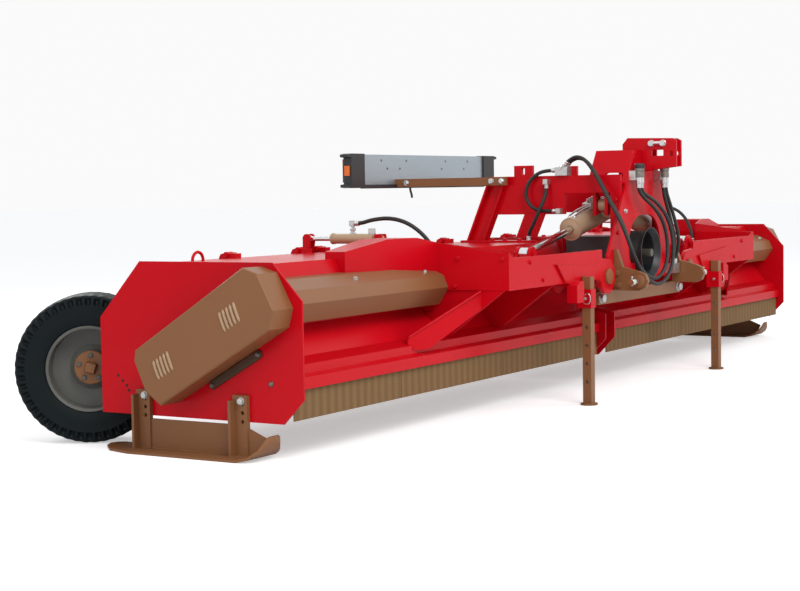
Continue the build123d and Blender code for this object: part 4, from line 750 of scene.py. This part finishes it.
# columns: name, body, length, points in millimetres
door_route = (
    (1880, 46, 1027), (1880, 6, 1027), (1880, -60, 1046), (1875, -170, 1056), (1868, -275, 1030),
    (1840, -355, 965), (1812, -401, 885), (1800, -415, 836), (1800, -415, 800),
)
hose_routes = (
    ("tower_hose_inner", "centre_frame", 1.950, (
        (-310, -452, 1330), (-313, -495, 1372), (-327, -575, 1368), (-355, -655, 1287),
        (-395, -760, 1130), (-412, -858, 980), (-397, -900, 830), (-300, -920, 700),
        (-100, -930, 635), (65, -930, 720), (105, -920, 870), (55, -910, 995),
        (-50, -893, 1078), (-135, -878, 1122), (-182, -866, 1158), (-200, -862, 1190), (-200, -862, 1215),
    )),
    ("tower_hose_outer", "centre_frame", 2.071, (
        (-338, -452, 1333), (-342, -495, 1378), (-358, -578, 1376), (-386, -660, 1295),
        (-425, -765, 1135), (-441, -862, 985), (-430, -915, 830), (-330, -945, 675),
        (-110, -955, 600), (95, -955, 700), (135, -945, 870), (85, -930, 1010),
        (-20, -905, 1100), (-100, -880, 1138), (-145, -866, 1163), (-160, -862, 1191), (-160, -862, 1215),
    )),
    ("drop_hose_inner", "centre_frame", 0.538, (
        (180, -862, 1215), (180, -862, 1170), (192, -872, 1105), (235, -885, 1000),
        (300, -887, 880), (341, -866, 800), (352, -848, 755), (352, -848, 720),
    )),
    ("drop_hose_outer", "centre_frame", 0.540, (
        (220, -862, 1215), (220, -862, 1170), (241, -875, 1105), (295, -890, 990),
        (355, -892, 870), (388, -868, 795), (395, -848, 752), (395, -848, 720),
    )),
    ("arch_hose_loop", "centre_frame", 0.522, (
        (-336, -390, 1302), (-336, -350, 1302), (-348, -285, 1292), (-362, -222, 1240), (-366, -198, 1160),
        (-366, -228, 1092), (-365, -287, 1062), (-361, -348, 1060), (-361, -405, 1060),
    )),
    ("arch_hose_drop", "centre_frame", 0.370, (
        (-352, -335, 1220), (-352, -335, 1180), (-372, -328, 1130), (-397, -305, 1060), (-396, -268, 985),
        (-384, -236, 940), (-373, -223, 912), (-373, -223, 884.5),
    )),
    ("left_door_hose", "left_wing", 0.615, tuple((-x, y, z) for x, y, z in door_route)),
    ("right_door_hose", "right_wing", 0.615, door_route),
)
for hose_name, hose_body, hose_length, route in hose_routes:
    places = [Vector((x / 1000, y / 1000 + END_MIDDLE, z / 1000)) for x, y, z in route]
    hose = pipe(f"{hose_name}_line", places, hose_r, hose_rubber, hose_body)
    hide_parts(hose_name)
    bm = bmesh.new()
    ferrule = ((0.0125, 0), (0.0145, 0.001), (0.0145, 0.010), (0.0130, 0.012), (0.0145, 0.014),
               (0.0145, 0.024), (0.0125, 0.027))
    turned(bm, places[0], places[1] - places[0], ferrule, 20)
    turned(bm, places[-1], places[-2] - places[-1], ferrule, 20)
    ferrules = mesh_from(bm, f"{hose_name}_ferrules")
    piece_of(f"{hose_name}_ferrules", ferrules, zinc_plate, hose_body)


# Light bar: a sheet of brushed aluminium with dark rivets, a black strip along its lower edge that is painted
# shade for the shadow under the bar, and black end caps whose lips shelter orange side lamps, with red tail
# lamps behind, on two beige arms.
bar_metal, bar_tree, bar_shader = shader_of("brushed_aluminium")
bar_shader.inputs["Metallic"].default_value = 0.75
bar_place = bar_tree.nodes.new("ShaderNodeTexCoord")
bar_stretch = bar_tree.nodes.new("ShaderNodeMapping")
bar_stretch.inputs["Scale"].default_value = (2, 60, 160)
bar_brush = bar_tree.nodes.new("ShaderNodeTexNoise")
bar_brush.inputs["Scale"].default_value = 4
bar_tree.links.new(bar_place.outputs["Object"], bar_stretch.inputs["Vector"])
bar_tree.links.new(bar_stretch.outputs["Vector"], bar_brush.inputs["Vector"])
bar_tones = bar_tree.nodes.new("ShaderNodeValToRGB")
bar_tones.color_ramp.elements[0].color = (0.33, 0.41, 0.45, 1)
bar_tones.color_ramp.elements[1].color = (0.47, 0.55, 0.59, 1)
bar_tree.links.new(bar_brush.outputs["Fac"], bar_tones.inputs["Fac"])
bar_tree.links.new(bar_tones.outputs["Color"], bar_shader.inputs["Base Color"])
bar_rough = bar_tree.nodes.new("ShaderNodeMapRange")
bar_rough.inputs["To Min"].default_value = 0.3
bar_rough.inputs["To Max"].default_value = 0.45
bar_tree.links.new(bar_brush.outputs["Fac"], bar_rough.inputs["Value"])
bar_tree.links.new(bar_rough.outputs["Result"], bar_shader.inputs["Roughness"])
dress(bar_metal, "light_bar")
orange_lens = finish("orange_lens", (0.85, 0.19, 0.015), (0.75, 0.15, 0.01), 0.18, scale=30, depth=0.2)
red_lens = finish("red_lens", (0.42, 0.008, 0.008), (0.35, 0.006, 0.006), 0.18, scale=30, depth=0.2)
dress(orange_lens, "side_lamps")
dress(red_lens, "tail_lamps")
bm = bmesh.new()
bar_front = 0.700 + END_MIDDLE
# columns: place across the machine and up
rivet_places = ((-0.55, 1.385), (-0.25, 1.385), (0.25, 1.385), (0.55, 1.385), (-0.48, 1.335), (-0.33, 1.335),
                (0.20, 1.335), (0.50, 1.335))
for x, z in rivet_places:
    rivet = ((0.0075, 0), (0.007, 0.002), (0.005, 0.0035), (0.002, 0.004))
    turned(bm, (x, bar_front, z), (0, -1, 0), rivet, 12)
rivets = mesh_from(bm, "light_bar_rivets")
piece_of("light_bar_rivets", rivets, worn_steel, "centre_frame")
bm = bmesh.new()
# The black strip along the bar's lower edge is painted shade: a dark sheet where the underside of the bar is
# in shadow.
shade_strip_ends = ((-0.765, 1.212), (0.765, 1.212), (0.765, 1.236), (-0.765, 1.236))
slab(bm, [(x, bar_front + 0.02, z) for x, z in shade_strip_ends], (0, -0.030, 0))
for s in (-1, 1):
    for lip_z in (1.216, 1.398):
        lip_ends = ((0.905, lip_z), (0.948, lip_z + 0.004), (0.948, lip_z + 0.020), (0.905, lip_z + 0.026))
        slab(bm, [(s * x, bar_front + 0.045, z) for x, z in lip_ends], (0, -0.057, 0))
shade_strip_and_cap_lips = mesh_from(bm, "light_bar_shade_strip_and_cap_lips")
piece_of("light_bar_shade_strip_and_cap_lips", shade_strip_and_cap_lips, black_plastic, "centre_frame")
cable_line = ((-0.20, 0.005, 1.214), (-0.20, 0.004, 1.196), (-0.19, 0, 1.172), (-0.186, 0, 1.150))
cable_places = [(x, bar_front + y, z) for x, y, z in cable_line]
pipe("light_bar_cable_stub", cable_places, 0.007, black_plastic, "centre_frame")
for s in (-1, 1):
    side = "left" if s < 0 else "right"
    arm_bolts = [(s * 0.385, y + END_MIDDLE, 1.243) for y in (-0.05, 0.02, 0.62)]
    bolts(f"{side}_bar_arm_bolts", arm_bolts, (s, 0, 0), 0.018, "centre_frame")
